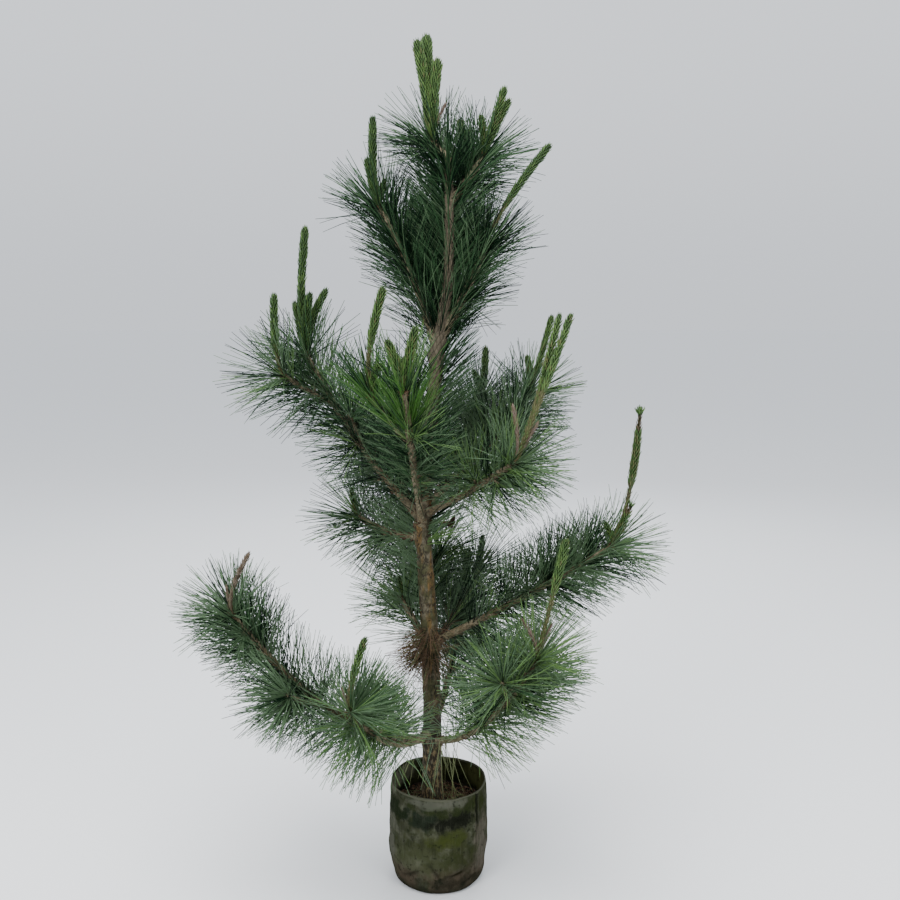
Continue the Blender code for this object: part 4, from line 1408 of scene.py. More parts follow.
@dataclass
class Openings:
    """Limbs that show through the needles from the photograph's side, each with the
    share of the needles in front of it that has gone, and the bag's open mouth."""

    eye: Vector
    lines: list[tuple[Vector, Vector, float]] = field(default_factory=list)
    before: float = 0.004
    mouth_top: float = -0.462
    mouth_middle: float = -0.0126
    mouth_reach: float = 0.064
    mouth_gone: float = 0.95
    seed: int = 17

    def add_line(self, points: Sequence[Vector], gone: float) -> None:
        """Add a limb."""
        self.lines += [(start, end, gone) for start, end in zip(points, points[1:])]

    def flat(self, places: np.ndarray) -> np.ndarray:
        """Where places show on a picture from the eye."""
        off = places - np.array(self.eye)
        return off[..., (0, 2)] / off[..., 1:2]

    def free(self, sprigs: Sprigs, length: float) -> np.ndarray:
        """Mark the blades that stay."""
        roots, reaches = sprigs.column(0), sprigs.reaches(length)
        start, end = self.flat(roots), self.flat(roots + reaches)
        run = end - start
        chance = np.random.default_rng(self.seed).random(len(roots))
        low = (end[:, 1] < self.mouth_top) & (np.abs(end[:, 0] - self.mouth_middle) < self.mouth_reach)
        free = ~(low & (chance < self.mouth_gone))
        for first, last, gone in self.lines:
            foot = self.flat(np.array(first))
            step = self.flat(np.array(last)) - foot
            off = foot - start
            cross = run[:, 0] * step[1] - run[:, 1] * step[0]
            cross = np.where(np.abs(cross) < 1e-12, 1e-12, cross)
            here = (off[:, 0] * step[1] - off[:, 1] * step[0]) / cross
            there = (off[:, 0] * run[:, 1] - off[:, 1] * run[:, 0]) / cross
            depth = roots[:, 1] + reaches[:, 1] * here
            limb = first.y + (last.y - first.y) * there
            hides = (here > 0) & (here < 1) & (there >= 0) & (there <= 1) & (depth < limb - self.before)
            free &= ~(hides & (chance < gone))
        return free


@dataclass(frozen=True)
class NeedleRule:
    """The source's needle rule, carried to pairs at nearly their true girth."""

    length: float = 0.130
    shortest: float = 0.88
    spacing: float = 0.00113
    root_radius: float = 0.00086
    tip_radius: float = 0.00052
    fullness: float = 5.0
    base_spread: float = 67.0
    tip_spread: float = 38.0
    jitter: float = 6.0
    droop: float = 0.05
    pair_spread: float = 2.4
    crown_needles: int = 38
    crown_reach: float = 0.014
    crown_spread: tuple[float, float] = (16.0, 84.0)
    spray: int = 9
    seed: int = 500

    def plant(self, growth: Growth, number: int, sprigs: Sprigs, sheaths: Sprigs) -> None:
        """Set pairs of needles round every clothed run of a mass.

        Args:
            growth: The mass.
            number: Its number, for its own draws and for its limbs.
            sprigs: Takes the needles.
            sheaths: Takes the sheath at each pair's foot.
        """
        chooser = random.Random(self.seed + number)
        for run in growth.runs:
            whole = run_length(run.points)
            spacing = self.spacing / (run.density * growth.density)
            count = max(4, int((whole - run.bare) / spacing))
            crown = 0
            if run.crown:
                crown = int(self.crown_needles * growth.density * min(1.0, 0.35 + whole / 0.12))
            first_turn = chooser.uniform(0.0, math.tau)
            base, tip = run.spreads or (self.base_spread, self.tip_spread)
            tone = growth.palette.deal(chooser)
            for place in range(count + crown):
                # Where a mass has an inner palette, the sprays nearer the trunk are dealt it as painted
                # shade.
                inside = growth.inner and (run.inside or run is growth.runs[0] and place < 0.6 * count)
                if place % self.spray == 0:
                    tone = (growth.inner if inside else growth.palette).deal(chooser)
                if place < count:
                    share = (run.bare + place * spacing) / whole
                    spread = base + (tip - base) * share + chooser.uniform(-self.jitter, self.jitter)
                else:
                    share = 1.0 - chooser.uniform(0.0, self.crown_reach) / whole
                    spread = chooser.uniform(*self.crown_spread)
                root, along = point_along(run.points, min(1.0, share))
                turn = first_turn + place * GOLDEN_ANGLE
                aim = self.aim(run.side, along, math.radians(spread), turn, chooser)
                lift = (0.45 if inside else 1.0) * growth.lift
                aim = (aim + Vector((growth.comb, 0.0, lift - self.droop))).normalized()
                size = run.length * chooser.uniform(self.shortest, 1.0)
                foot = root + aim * (run.radius(share) * 0.7)
                self.pair((foot, aim, along, size, tone.value, number), chooser, sprigs)
                sheaths.add(foot, aim, UP, size, 0, number)

    @staticmethod
    def aim(side: TrunkSide | None, along: Vector, spread: float, turn: float,
            chooser: random.Random) -> Vector:
        """Where a pair points: round its limb in turn, or to the one side that it stands on."""
        if side is None:
            return turned(along, spread, turn)
        heading = math.radians(side.heading + chooser.uniform(-side.arc, side.arc))
        return leant(along, polar(1.0, heading), spread)

    def pair(self, facts: tuple[Vector, Vector, Vector, float, int, int], chooser: random.Random,
             sprigs: Sprigs) -> None:
        """Add the two needles of one sheath, which part and bow away from each other.

        Args:
            facts: The sheath's foot and aim, its limb's direction, the needles' size and
                tone, and the number of the limb.
            chooser: Gives the draws.
            sprigs: Takes the needles.
        """
        foot, aim, along, size, tone, owner = facts
        turn = chooser.uniform(0.0, math.tau)
        apart = math.radians(self.pair_spread * chooser.uniform(0.5, 1.6))
        for half in (turn, turn + math.pi):
            side = turned(aim, apart, half)
            lean = (side - aim).normalized() * 0.7 - UP * chooser.uniform(0.2, 1.0) + along * 0.3
            sprigs.add(foot, side, lean, size * chooser.uniform(0.95, 1.0), tone, owner)

    @property
    def sizes(self) -> tuple[float, ...]:
        """The blade tree's inputs for needles, in their order."""
        return self.length, self.root_radius, self.tip_radius, self.fullness


@dataclass(frozen=True)
class GrowBag:
    """The felt bag: a soft turned wall with folds, creases, a rolled lip and a seam. A
    crease is the angle and height of its start and of its end; the seam's shape is how
    far across and how far out each of its corners lies."""

    height: float = 0.212
    rim_radius: float = 0.0985
    belly_radius: float = 0.1025
    belly_height: float = 0.115
    foot_radius: float = 0.094
    rounding: float = 0.014
    wall: float = 0.0032
    folds: int = 5
    fold_depth: float = 0.011
    fold_twist: float = 2.0
    oval: float = 0.6
    oval_turn: float = 0.7
    bulge: float = 0.0055
    bulge_heading: float = -168.0
    bulge_arc: float = 0.6
    bulge_height: float = 0.055
    bulge_reach: float = 0.042
    crease_depth: float = 0.0034
    crease_width: float = 0.0038
    crease_waver: float = 0.0035
    lip_wave: float = 0.0014
    sides: int = 168
    level_step: float = 0.0024
    inner_rings: int = 23
    lining_rings: int = 27
    mix_top: float = 0.160
    seam_heading: float = -37.0
    seam_foot: float = 0.034
    creases: tuple[tuple[float, float, float, float], ...] = (
        (-104.0, 0.078, -86.0, 0.034),
        (-86.0, 0.040, -50.0, 0.050),
        (-140.0, 0.030, -112.0, 0.052),
        (-66.0, 0.016, -40.0, 0.030),
        (40.0, 0.050, 75.0, 0.034),
        (110.0, 0.060, 122.0, 0.024),
    )
    seam_shape: tuple[tuple[float, float], ...] = (
        (-0.0065, -0.0006), (-0.0062, 0.0009), (-0.0040, 0.0015), (0.0, 0.0016),
        (0.0040, 0.0011), (0.0070, 0.0002), (0.0072, -0.0008), (0.0, -0.0012),
    )

    def outside(self, height: float) -> float:
        """The wall's outer radius at a height, without its folds."""
        if height < self.rounding:
            drop = 1.0 - height / self.rounding
            return self.foot_radius - self.rounding * (1.0 - math.sqrt(1.0 - drop * drop))
        if height < self.belly_height:
            share = (height - self.rounding) / (self.belly_height - self.rounding)
            return self.foot_radius + (self.belly_radius - self.foot_radius) * math.sin(share * math.pi / 2)
        share = (height - self.belly_height) / (self.height - self.belly_height)
        return self.belly_radius + (self.rim_radius - self.belly_radius) * share * share

    def swell(self, angle: float, height: float) -> float:
        """How much the wall swells or dips at a place, as a share of its radius."""
        rise = max(0.0, height) / self.height
        lobes = math.cos(self.folds * angle + self.fold_twist * rise)
        lobes += self.oval * math.cos(2.0 * angle + self.oval_turn)
        return 1.0 + self.fold_depth * lobes * math.sin(math.pi * (0.15 + 0.75 * rise))

    def crease(self, angle: float, height: float) -> float:
        """How deep in a crease a place is, from 0 to 1."""
        deepest = 0.0
        for from_angle, from_height, to_angle, to_height in self.creases:
            start = np.array((math.radians(from_angle) * self.foot_radius, from_height))
            run = np.array((math.radians(to_angle) * self.foot_radius, to_height)) - start
            off = np.array((angle * self.foot_radius, height)) - start
            share = float(np.clip(off @ run / (run @ run), 0.0, 1.0))
            far = np.linalg.norm(off - run * share)
            far += self.crease_waver * noise.noise(Vector((angle * 7.0, height * 90.0, from_angle)))
            ends = math.sin(math.pi * min(0.97, max(0.03, share)))
            deepest = max(deepest, math.exp(-(far / self.crease_width) ** 2) * ends)
        return deepest

    def place(self, radius: float, angle: float, height: float, slack: float) -> tuple[Vector, float]:
        """A point of the wall with its folds, and its crack value.

        Args:
            radius: The turned wall's radius there.
            angle: The angle round the bag.
            height: The height.
            slack: How much of the fine folds the place takes, from 0 to 1.

        Returns:
            The point and how dark its crease is.
        """
        reach = radius * self.swell(angle, height)
        spot = polar(reach, angle, height)
        ripple = noise.noise(Vector((spot.x * 22.0, spot.y * 22.0, height * 34.0))) * 0.0022
        ripple += noise.noise(Vector((spot.x * 60.0, spot.y * 60.0, height * 60.0))) * 0.0007
        crease = self.crease(angle, height)
        aside = math.remainder(angle - math.radians(self.bulge_heading), math.tau) / self.bulge_arc
        rise = (height - self.bulge_height) / self.bulge_reach
        bulge = self.bulge * math.exp(-aside ** 2 - rise ** 2)
        reach += slack * (ripple - self.crease_depth * crease + bulge)
        lip = self.lip_wave * math.sin(3.0 * angle + 1.0) * max(0.0, height / self.height) ** 8 * slack
        # Painted shade: the crack value that darkens the felt in a crease.
        return polar(reach, angle, height + lip), 0.75 * crease * slack

    def profile(self) -> list[Triple]:
        """Radius, height and slack of each ring, from the underside's middle outwards, up
        the outer wall, over the lip and down the inner wall to the bag's floor."""
        half = self.wall / 2
        lip = self.height - half
        flat = self.foot_radius - self.rounding
        rings = [(share * flat, 0.0, 0.0) for share in (0.25, 0.5, 0.75, 1.0)]
        for share in (0.2, 0.4, 0.6, 0.8, 1.0):
            height = self.rounding * (1.0 - math.cos(share * math.pi / 2))
            rings.append((self.outside(height), height, share))
        levels = even(self.rounding, lip, round((lip - self.rounding) / self.level_step))
        rings += [(self.outside(height), height, 1.0) for height in levels[1:]]
        for step in range(1, 6):
            turn = math.pi * step / 6
            rings.append((self.rim_radius - half * (1.0 - math.cos(turn)),
                          self.height - half * (1.0 - math.sin(turn)), 1.0))
        drop = lip - self.mix_top + 0.008
        inside = [(lip - drop * step / (self.inner_rings - 1), 1.0) for step in range(self.inner_rings)]
        inside += [(0.13, 0.3), (0.10, 0.0), (0.06, 0.0), (self.rounding, 0.0)]
        rings += [(self.outside(height) - self.wall, height, slack) for height, slack in inside]
        return [*rings, (flat, self.wall, 0.0), (0.5 * self.foot_radius, self.wall, 0.0)]

    def build_wall(self) -> None:
        """Build the bag's wall and floor as one closed shell."""
        maker = MeshMaker()
        angles = [math.tau * step / self.sides - math.pi for step in range(self.sides)]
        rings = [[maker.add_point(*self.place(radius, angle, height, slack)) for angle in angles]
                 for radius, height, slack in self.profile()]
        turn = len(rings) - self.lining_rings
        maker.add_rings(rings[:turn])
        maker.add_rings(rings[turn - 1:], 1)
        maker.add_fan(rings[0], Vector(), True)
        maker.add_fan(rings[-1], UP * self.wall, False, 1)
        made = maker.build("grow_bag_felt", FeltFinish().dress(), LiningFinish().dress())
        hand_over(made, Slot.FELT, ["grow_bag"])

    @property
    def seam_out(self) -> Vector:
        """The direction from the bag's middle to its seam."""
        return polar(1.0, math.radians(self.seam_heading))

    def seam_line(self, count: int, proud: float) -> list[Vector]:
        """Points up the seam, a little proud of the wall."""
        angle = math.radians(self.seam_heading)
        return [self.place(self.outside(height), angle, height, 1.0)[0] + self.seam_out * proud
                for height in even(self.seam_foot, self.height - 0.001, count)]

    def build_seam(self) -> None:
        """Build the raised edge where one end of the felt laps over the other, with its one side darkened as
        painted shade, most near the rim.
        """
        maker = MeshMaker()
        out = self.seam_out
        side = UP.cross(out)
        rings = []
        for place, point in enumerate(self.seam_line(60, 0.0)):
            wave = 0.0007 * math.sin(place * 0.9) + 0.0005 * math.sin(place * 0.37)
            # Painted shade: the seam's one side gets a crack value, stronger towards the rim.
            dark = 0.15 + 0.85 * smooth_step(0.110, 0.165, point.z)
            rings.append([maker.add_point(point + side * (across + wave) + out * depth,
                                          dark if across < -0.0035 else 0.0)
                          for across, depth in self.seam_shape])
        maker.add_rings([ring[::-1] for ring in rings])
        for ring, flip in ((rings[0], False), (rings[-1], True)):
            middle = sum((Vector(maker.places[vertex]) for vertex in ring), Vector()) / len(ring)
            maker.add_fan(ring, middle, flip)
        hand_over(maker.build("grow_bag_seam", bpy.data.materials[FeltFinish.name]), Slot.FELT)

    def build_stitches(self) -> None:
        """Build a row of thread stitches down the seam."""
        thread = PlainFinish("seam thread", (0.030, 0.031, 0.022), 0.8, 0.2).dress()
        length = 0.004
        sprigs = Sprigs()
        line = self.seam_line(38, 0.0017)
        for start, end in zip(line, line[1:]):
            sprigs.add(start, (end - start).normalized(), self.seam_out, 0.72 * (end - start).length / length)
        tree = BladeTree("seam stitches", 6, 3, (0.0,), [thread])
        hand_over(tree.grow("grow_bag_stitches", sprigs, length, 0.00055, 0.0004, 2.0), Slot.FELT)

    def build(self) -> None:
        """Build the whole bag."""
        self.build_wall()
        self.build_seam()
        self.build_stitches()


@dataclass(frozen=True)
class PottingMix:
    """The bark mix: a lumpy top, loose chips and fallen needles."""

    bag: GrowBag
    top: float = 0.1597
    edge_drop: float = 0.005
    side_gap: float = 0.0006
    floor_gap: float = 0.0003
    flat_radius: float = 0.045
    sides: int = 120
    ring_step: float = 0.0022
    chip_density: float = 52000.0
    chip_size: float = 0.0034
    chip_start: float = 0.026
    fallen: int = 110
    fallen_lengths: tuple[float, float] = (0.045, 0.125)

    CHIP_COLOURS = ((0.070, 0.032, 0.016), (0.030, 0.017, 0.010), (0.150, 0.092, 0.056))

    def surface(self, radius: float, angle: float, edge: float) -> Vector:
        """A point of the lumpy top."""
        spot = polar(radius, angle)
        drop = self.edge_drop * smooth_step(self.flat_radius, edge, radius)
        lumps = 0.0032 * noise.noise(spot * 75.0) + 0.0018 * noise.noise(spot * 190.0)
        spot.z = self.top - drop + (lumps - 0.0010) * smooth_step(edge, edge - 0.006, radius)
        return spot

    def build_body(self) -> None:
        """Build the whole fill of the bag, closed below."""
        maker = MeshMaker()
        bag = self.bag
        turns = [math.tau * step / self.sides for step in range(self.sides)]
        reach = bag.outside(self.top - self.edge_drop) - bag.wall - self.side_gap
        count = round(reach / self.ring_step)
        rings = []
        for place in range(1, count + 1):
            rings.append([])
            for angle in turns:
                x, y, z = self.surface(reach * place / count, angle, reach)
                swell = 1.0 + (bag.swell(angle, self.top) - 1.0) * place / count
                rings[-1].append(maker.add_point((x * swell, y * swell, z)))
        for height in (bag.belly_height, 0.060, bag.rounding):
            radius = bag.outside(height) - bag.wall - self.side_gap
            rings.append([maker.add_point(bag.place(radius, angle, height, 0.0)[0]) for angle in turns])
        floor = bag.wall + self.floor_gap
        radius = bag.foot_radius - bag.rounding - self.side_gap
        rings.append([maker.add_point(polar(radius, angle, floor)) for angle in turns])
        maker.add_rings([ring[::-1] for ring in rings])
        maker.add_fan(rings[0], UP * self.top, False)
        maker.add_fan(rings[-1], UP * floor, True)
        hand_over(maker.build("potting_mix_body", MixFinish().dress()), Slot.MIX, ["potting_mix"])

    def chip_tree(self) -> NodeTree:
        """A Geometry Nodes tree that strews flat chips over the points it is given."""
        chips = plain_set("bark chips", self.CHIP_COLOURS, 0.85, 0.3)
        sheet, given = Sheet.geometry("bark chips", {"Size": 0.004})
        ball = sheet.get("GeometryNodeMeshIcoSphere", {"Radius": given["Size"], "Subdivisions": 1})
        lumps = sheet.put("ShaderNodeTexNoise", {"Scale": 330.0, "Detail": 1.0}).outputs["Color"]
        push = sheet.get("ShaderNodeVectorMath", {0: lumps, 1: (0.5, 0.5, 0.5)}, operation="SUBTRACT")
        push = sheet.get("ShaderNodeVectorMath", {0: push, "Scale": 0.006}, operation="SCALE")
        ball = sheet.get("GeometryNodeSetPosition", {"Geometry": ball, "Offset": push})
        kind, turn, girth = [
            sheet.get("FunctionNodeRandomValue", {"Min": low, "Max": high, "Seed": seed}, data_type=form)
            for low, high, seed, form in ((0, len(chips) - 1, 2, "INT"),
                                          ((-0.5, -0.5, 0.0), (0.5, 0.5, math.tau), 3, "FLOAT_VECTOR"),
                                          ((0.5, 0.35, 0.15), (1.9, 0.9, 0.4), 4, "FLOAT_VECTOR"))]
        sheet.deal_out(kind, chips, {
            "Points": given["Geometry"], "Instance": ball, "Rotation": turn, "Scale": girth})
        return sheet.tree

    @property
    def inner_reach(self) -> float:
        """How far from the middle loose bits may lie."""
        return self.bag.outside(self.top) - self.bag.wall - 0.006

    @staticmethod
    def strew(chooser: random.Random, reach: float) -> tuple[float, float]:
        """Draw a place on a round area, by its radius and angle."""
        angle = chooser.uniform(0.0, math.tau)
        return reach * math.sqrt(chooser.random()), angle

    def build_chips(self) -> None:
        """Build the loose chips on the mix."""
        chooser = random.Random(41)
        sprigs = Sprigs()
        reach = self.inner_reach
        for _ in range(int(self.chip_density * math.pi * reach * reach)):
            radius, angle = self.strew(chooser, reach)
            if radius * self.bag.swell(angle, self.top) > self.chip_start:
                sprigs.add(self.surface(radius, angle, reach + 0.01), UP, UP, 1.0)
        hand_over(set_off(sprigs.carrier("bark_chips"), self.chip_tree(), {"Size": self.chip_size}), Slot.MIX)

    def build_fallen(self, blades: BladeTree) -> None:
        """Build the fallen needles that lie criss-cross on the mix."""
        chooser = random.Random(42)
        sprigs = Sprigs()
        reach = self.inner_reach - 0.004
        shortest, longest = self.fallen_lengths
        while len(sprigs.rows) < self.fallen:
            start, end = [self.surface(*self.strew(chooser, reach), reach + 0.01)
                          + UP * chooser.uniform(0.0012, 0.0045) for _ in range(2)]
            length = (end - start).length
            middle = (start + end) / 2
            if shortest < length < longest and math.hypot(middle.x + 0.014, middle.y) > 0.03:
                tone = Tone.DEAD if chooser.random() < 0.7 else Tone.OLD
                aim = (end - start).normalized()
                side = (end - start).cross(UP).normalized()
                sprigs.add(start, aim, side, length / NeedleRule.length, tone.value)
        hand_over(blades.grow("fallen_needles", sprigs, *NeedleRule().sizes), Slot.NEEDLES)

    def build(self, blades: BladeTree) -> None:
        """Build the mix and what lies on it."""
        self.build_body()
        self.build_chips()
        self.build_fallen(blades)


@dataclass(frozen=True)
class Wood:
    """The trunk, the boughs with the stems they run on into, and the finer twigs."""

    growths: list[Growth]
    trunk_sides: int = 84
    trunk_step: float = 0.0024
    bough_sides: int = 18
    bough_step: float = 0.0026
    twig_sides: int = 10
    twig_step: float = 0.0035
    twig_relief: Cushions = Cushions(5, 0.0065, 0.00040)
    stubs: float = 1.22
    sunk: float = 0.004
    collar: float = 0.0030
    collar_reach: float = 0.009

    TRUNK_BARK = BarkFinish(
        "trunk bark", (0.050, 0.042, 0.024), (0.118, 0.102, 0.067), (0.146, 0.084, 0.026),
        (0.014, 0.011, 0.006), (0.044, 0.048, 0.016), 0.76, 0.85, 330.0, 95.0,
        foot=(0.180, 0.128, 0.062), young=(0.130, 0.108, 0.074))
    BOUGH_BARK = BarkFinish(
        "bough bark", (0.112, 0.096, 0.056), (0.205, 0.176, 0.112), (0.130, 0.088, 0.044),
        (0.022, 0.017, 0.010), (0.062, 0.064, 0.024), 0.45, 0.55, 420.0, 80.0)

    def build_trunk(self) -> None:
        """Build the trunk from its flare to its tip."""
        maker = MeshMaker()
        foot = TRUNK_LINE.foot - self.sunk
        count = round((TRUNK_LINE.top - foot) / self.trunk_step)
        radii = [TRUNK_LINE.radius(height) for height in even(foot, TRUNK_LINE.top, count)]
        maker.sweep(TRUNK_LINE.stretch(foot, TRUNK_LINE.top, count), radii, self.trunk_sides, TrunkBark())
        hand_over(maker.build("trunk_wood", self.TRUNK_BARK.dress()), Slot.BARK, ["trunk"])

    def build_boughs(self) -> None:
        """Build each bough, from inside the trunk to the tip of the stem that it runs on into."""
        rule = GrowthRule()
        bark = self.BOUGH_BARK.dress()
        stubby = rule.tip_radius * self.stubs
        for bough in BOUGHS:
            count = round(run_length(bow(bough.curve(), 20)) / self.bough_step)
            points = bow(bough.curve(), count)
            girths = (bough.girth, stubby, stubby, rule.stem_tip_radius)
            radii = [float(np.interp(share, (0.0, bough.bare, 0.85, 1.0), girths))
                     for share in even(0.0, 1.0, count)]
            trunk_radius = TRUNK_LINE.radius(bough.height)
            for place, point in enumerate(points):
                off = (point - TRUNK_LINE.at(point.z)).length - trunk_radius
                radii[place] += self.collar * math.exp(-(max(0.0, off) / self.collar_reach) ** 1.5)
            maker = MeshMaker()
            maker.sweep(points, radii, self.bough_sides, Cushions())
            hand_over(maker.build(bough.name + "_wood", bark), Slot.BARK, [bough.name + "_bough"])

    def build_twigs(self) -> None:
        """Build all side twigs, forks, spurs and stalks of cones, joined."""
        maker = MeshMaker()
        for growth in self.growths:
            for run in growth.limbs:
                count = max(5, round(run_length(run.points) / self.twig_step))
                points = [point_along(run.points, share)[0] for share in even(0.0, 1.0, count)]
                maker.sweep(points, even(*run.radii, count), self.twig_sides, self.twig_relief)
        for cone in OLD_CONES:
            foot, end = cone.stalk()
            line = [foot.lerp(end, share) for share in even(0.0, 1.0, 12)]
            radii = [0.0030 - 0.0001 * step for step in range(13)]
            maker.sweep(line, radii, self.twig_sides, self.twig_relief)
        made = maker.build("twigs_wood", bpy.data.materials[self.BOUGH_BARK.name])
        hand_over(made, Slot.BARK, [growth.name for growth in self.growths])

    def build(self) -> None:
        """Build all the wood."""
        self.build_trunk()
        self.build_boughs()
        self.build_twigs()


@dataclass(frozen=True)
class Candles:
    """The year's new shoots: bare stems, cores, and scales in a tight spiral. A deal is a
    colour's number and how often it comes up."""

    growths: list[Growth]
    rule: ShootRule = ShootRule()
    sides: int = 14
    bare_rings: int = 5

    STEM_COLOURS = {
        GREEN: (0.050, 0.054, 0.018),
        DEEP: (0.056, 0.056, 0.020),
        OLIVE: (0.040, 0.038, 0.017),
        BROWN: (0.125, 0.096, 0.068),
        PINK: (0.132, 0.096, 0.074),
    }
    SCALE_COLOURS = (
        (0.038, 0.084, 0.016), (0.074, 0.138, 0.030), (0.095, 0.108, 0.034), (0.080, 0.054, 0.028),
        (0.048, 0.032, 0.017), (0.150, 0.110, 0.086), (0.125, 0.112, 0.050), (0.165, 0.130, 0.094),
        # The last and darkest green is dealt to DEEP shoots as painted shade.
        (0.024, 0.058, 0.013),
    )
    SCALE_DEALS = {
        GREEN: ((0, 6), (1, 5), (2, 1)),
        DEEP: ((0, 7), (8, 6), (1, 1)),
        OLIVE: ((0, 5), (2, 5), (1, 1)),
        BROWN: ((7, 6), (3, 3), (4, 1)),
        PINK: ((5, 5), (3, 2), (6, 2)),
    }
    BRACT_TONE = 6
    OLIVE_NECK_TONE = 3

    def all_shoots(self) -> Iterable[tuple[Shoot, list[Vector], list[float]]]:
        """Every shoot with its line and the radii of its core."""
        for growth in self.growths:
            for shoot, root, along in growth.shoots:
                yield shoot, *self.rule.line(shoot, root, along)

    def build_cores(self) -> None:
        """Build the bare stems and the cores under the scales, the cores of green heads near black as painted
        shade between the scales.
        """
        finishes = []
        for tone, colour in self.STEM_COLOURS.items():
            pale, rust, dark = [tuple(part * share for part in colour) for share in (1.25, 0.8, 0.35)]
            finishes.append(BarkFinish(f"shoot stem {tone.value}", colour, pale, rust, dark, colour,
                                       0.0, 0.4, 500.0))
        materials = [finish.dress() for finish in finishes]
        # Painted shade: the near-black core shows in the gaps between scales as their shade.
        materials.append(PlainFinish("shoot core", (0.006, 0.012, 0.003), 0.8, 0.1).dress())
        maker = MeshMaker()
        for shoot, points, radii in self.all_shoots():
            before = len(maker.faces)
            fill = list(self.STEM_COLOURS).index(shoot.tone)
            maker.sweep(points, radii, self.sides, Cushions(5, 0.0050, 0.00035), fill)
            # Past the bare rings, green, deep green and olive heads take the painted-shade core.
            clothed = (1.0 - shoot.head) * (len(points) - 1) + self.bare_rings
            for number in range(before, len(maker.faces)):
                if clothed < (number - before) // self.sides and shoot.tone in (GREEN, DEEP, OLIVE):
                    maker.fills[number] = len(finishes)
        hand_over(maker.build("new_shoot_cores", *materials), Slot.NEEDLES)

    def clothe(self, shoot: Shoot, points: list[Vector], radii: list[float], chooser: random.Random,
               sprigs: Sprigs) -> None:
        """Set the scales of one shoot's head and the bracts of its bare stem.

        Args:
            shoot: The shoot.
            points: Its middle line.
            radii: Its core's radius at each point.
            chooser: Gives the draws.
            sprigs: Takes the scales and bracts.
        """
        whole = run_length(points)
        bare = (1.0 - shoot.head) * whole
        tones, weights = zip(*self.SCALE_DEALS[shoot.tone])
        pitch_square = self.rule.scale_pitch ** 2
        travelled = self.rule.bract_step
        turn = chooser.uniform(0.0, math.tau)
        tone = tones[0]
        count = 0
        while travelled < whole:
            spot, along = point_along(points, travelled / whole)
            radius = float(np.interp(travelled / whole, np.linspace(0.0, 1.0, len(radii)), radii))
            turn += GOLDEN_ANGLE
            out = turned(along, math.pi / 2, turn)
            if travelled < bare - 0.004:
                aim = leant(along, out, math.radians(chooser.uniform(16.0, 36.0)))
                tone = self.BRACT_TONE if chooser.random() < 0.6 else chooser.choices(tones, weights)[0]
                sprigs.add(spot + out * radius * 0.85, aim, -out, chooser.uniform(0.45, 0.65), tone)
                travelled += self.rule.bract_step * 0.30
                continue
            near_tip = smooth_step(0.022, 0.0, whole - travelled)
            if count % 3 == 0:
                tone = chooser.choices(tones, weights)[0]
            count += 1
            tilt = math.radians(self.rule.scale_spread * (1.0 - 0.75 * near_tip) + chooser.uniform(-5.0, 7.0))
            size = (1.0 - 0.45 * near_tip) * chooser.uniform(0.85, 1.1) * min(1.0, 0.45 + radius / 0.0075)
            round_it = math.tau * max(radius, 0.002)
            if shoot.tone is OLIVE:
                clothed = (travelled - bare) / (whole - bare)
                size *= 0.88
                if clothed > 0.93:
                    tilt, size = math.radians(chooser.uniform(15.0, 60.0)), chooser.uniform(0.75, 1.05)
                    tone = chooser.choice((0, 0, 1))
                    travelled -= 0.6 * pitch_square / round_it
                elif clothed > 0.72:
                    tone = self.OLIVE_NECK_TONE
            sprigs.add(spot + out * radius * 0.80, leant(along, out, tilt), -out, size, tone)
            travelled += pitch_square / round_it

    def build_scales(self) -> None:
        """Build the scales and bracts of all shoots, joined."""
        finishes = plain_set("shoot scales", self.SCALE_COLOURS, 0.5, 0.4)
        tree = BladeTree("shoot scales", 3, 3, (0.10, 0.20), finishes)
        chooser = random.Random(900)
        sprigs = Sprigs()
        for shoot, points, radii in self.all_shoots():
            self.clothe(shoot, points, radii, chooser, sprigs)
        made = tree.grow("new_shoot_scales", sprigs, self.rule.scale_length, 0.00155, 0.00032, 1.9)
        hand_over(made, Slot.NEEDLES)

    def build(self) -> None:
        """Build cores and scales."""
        self.build_cores()
        self.build_scales()


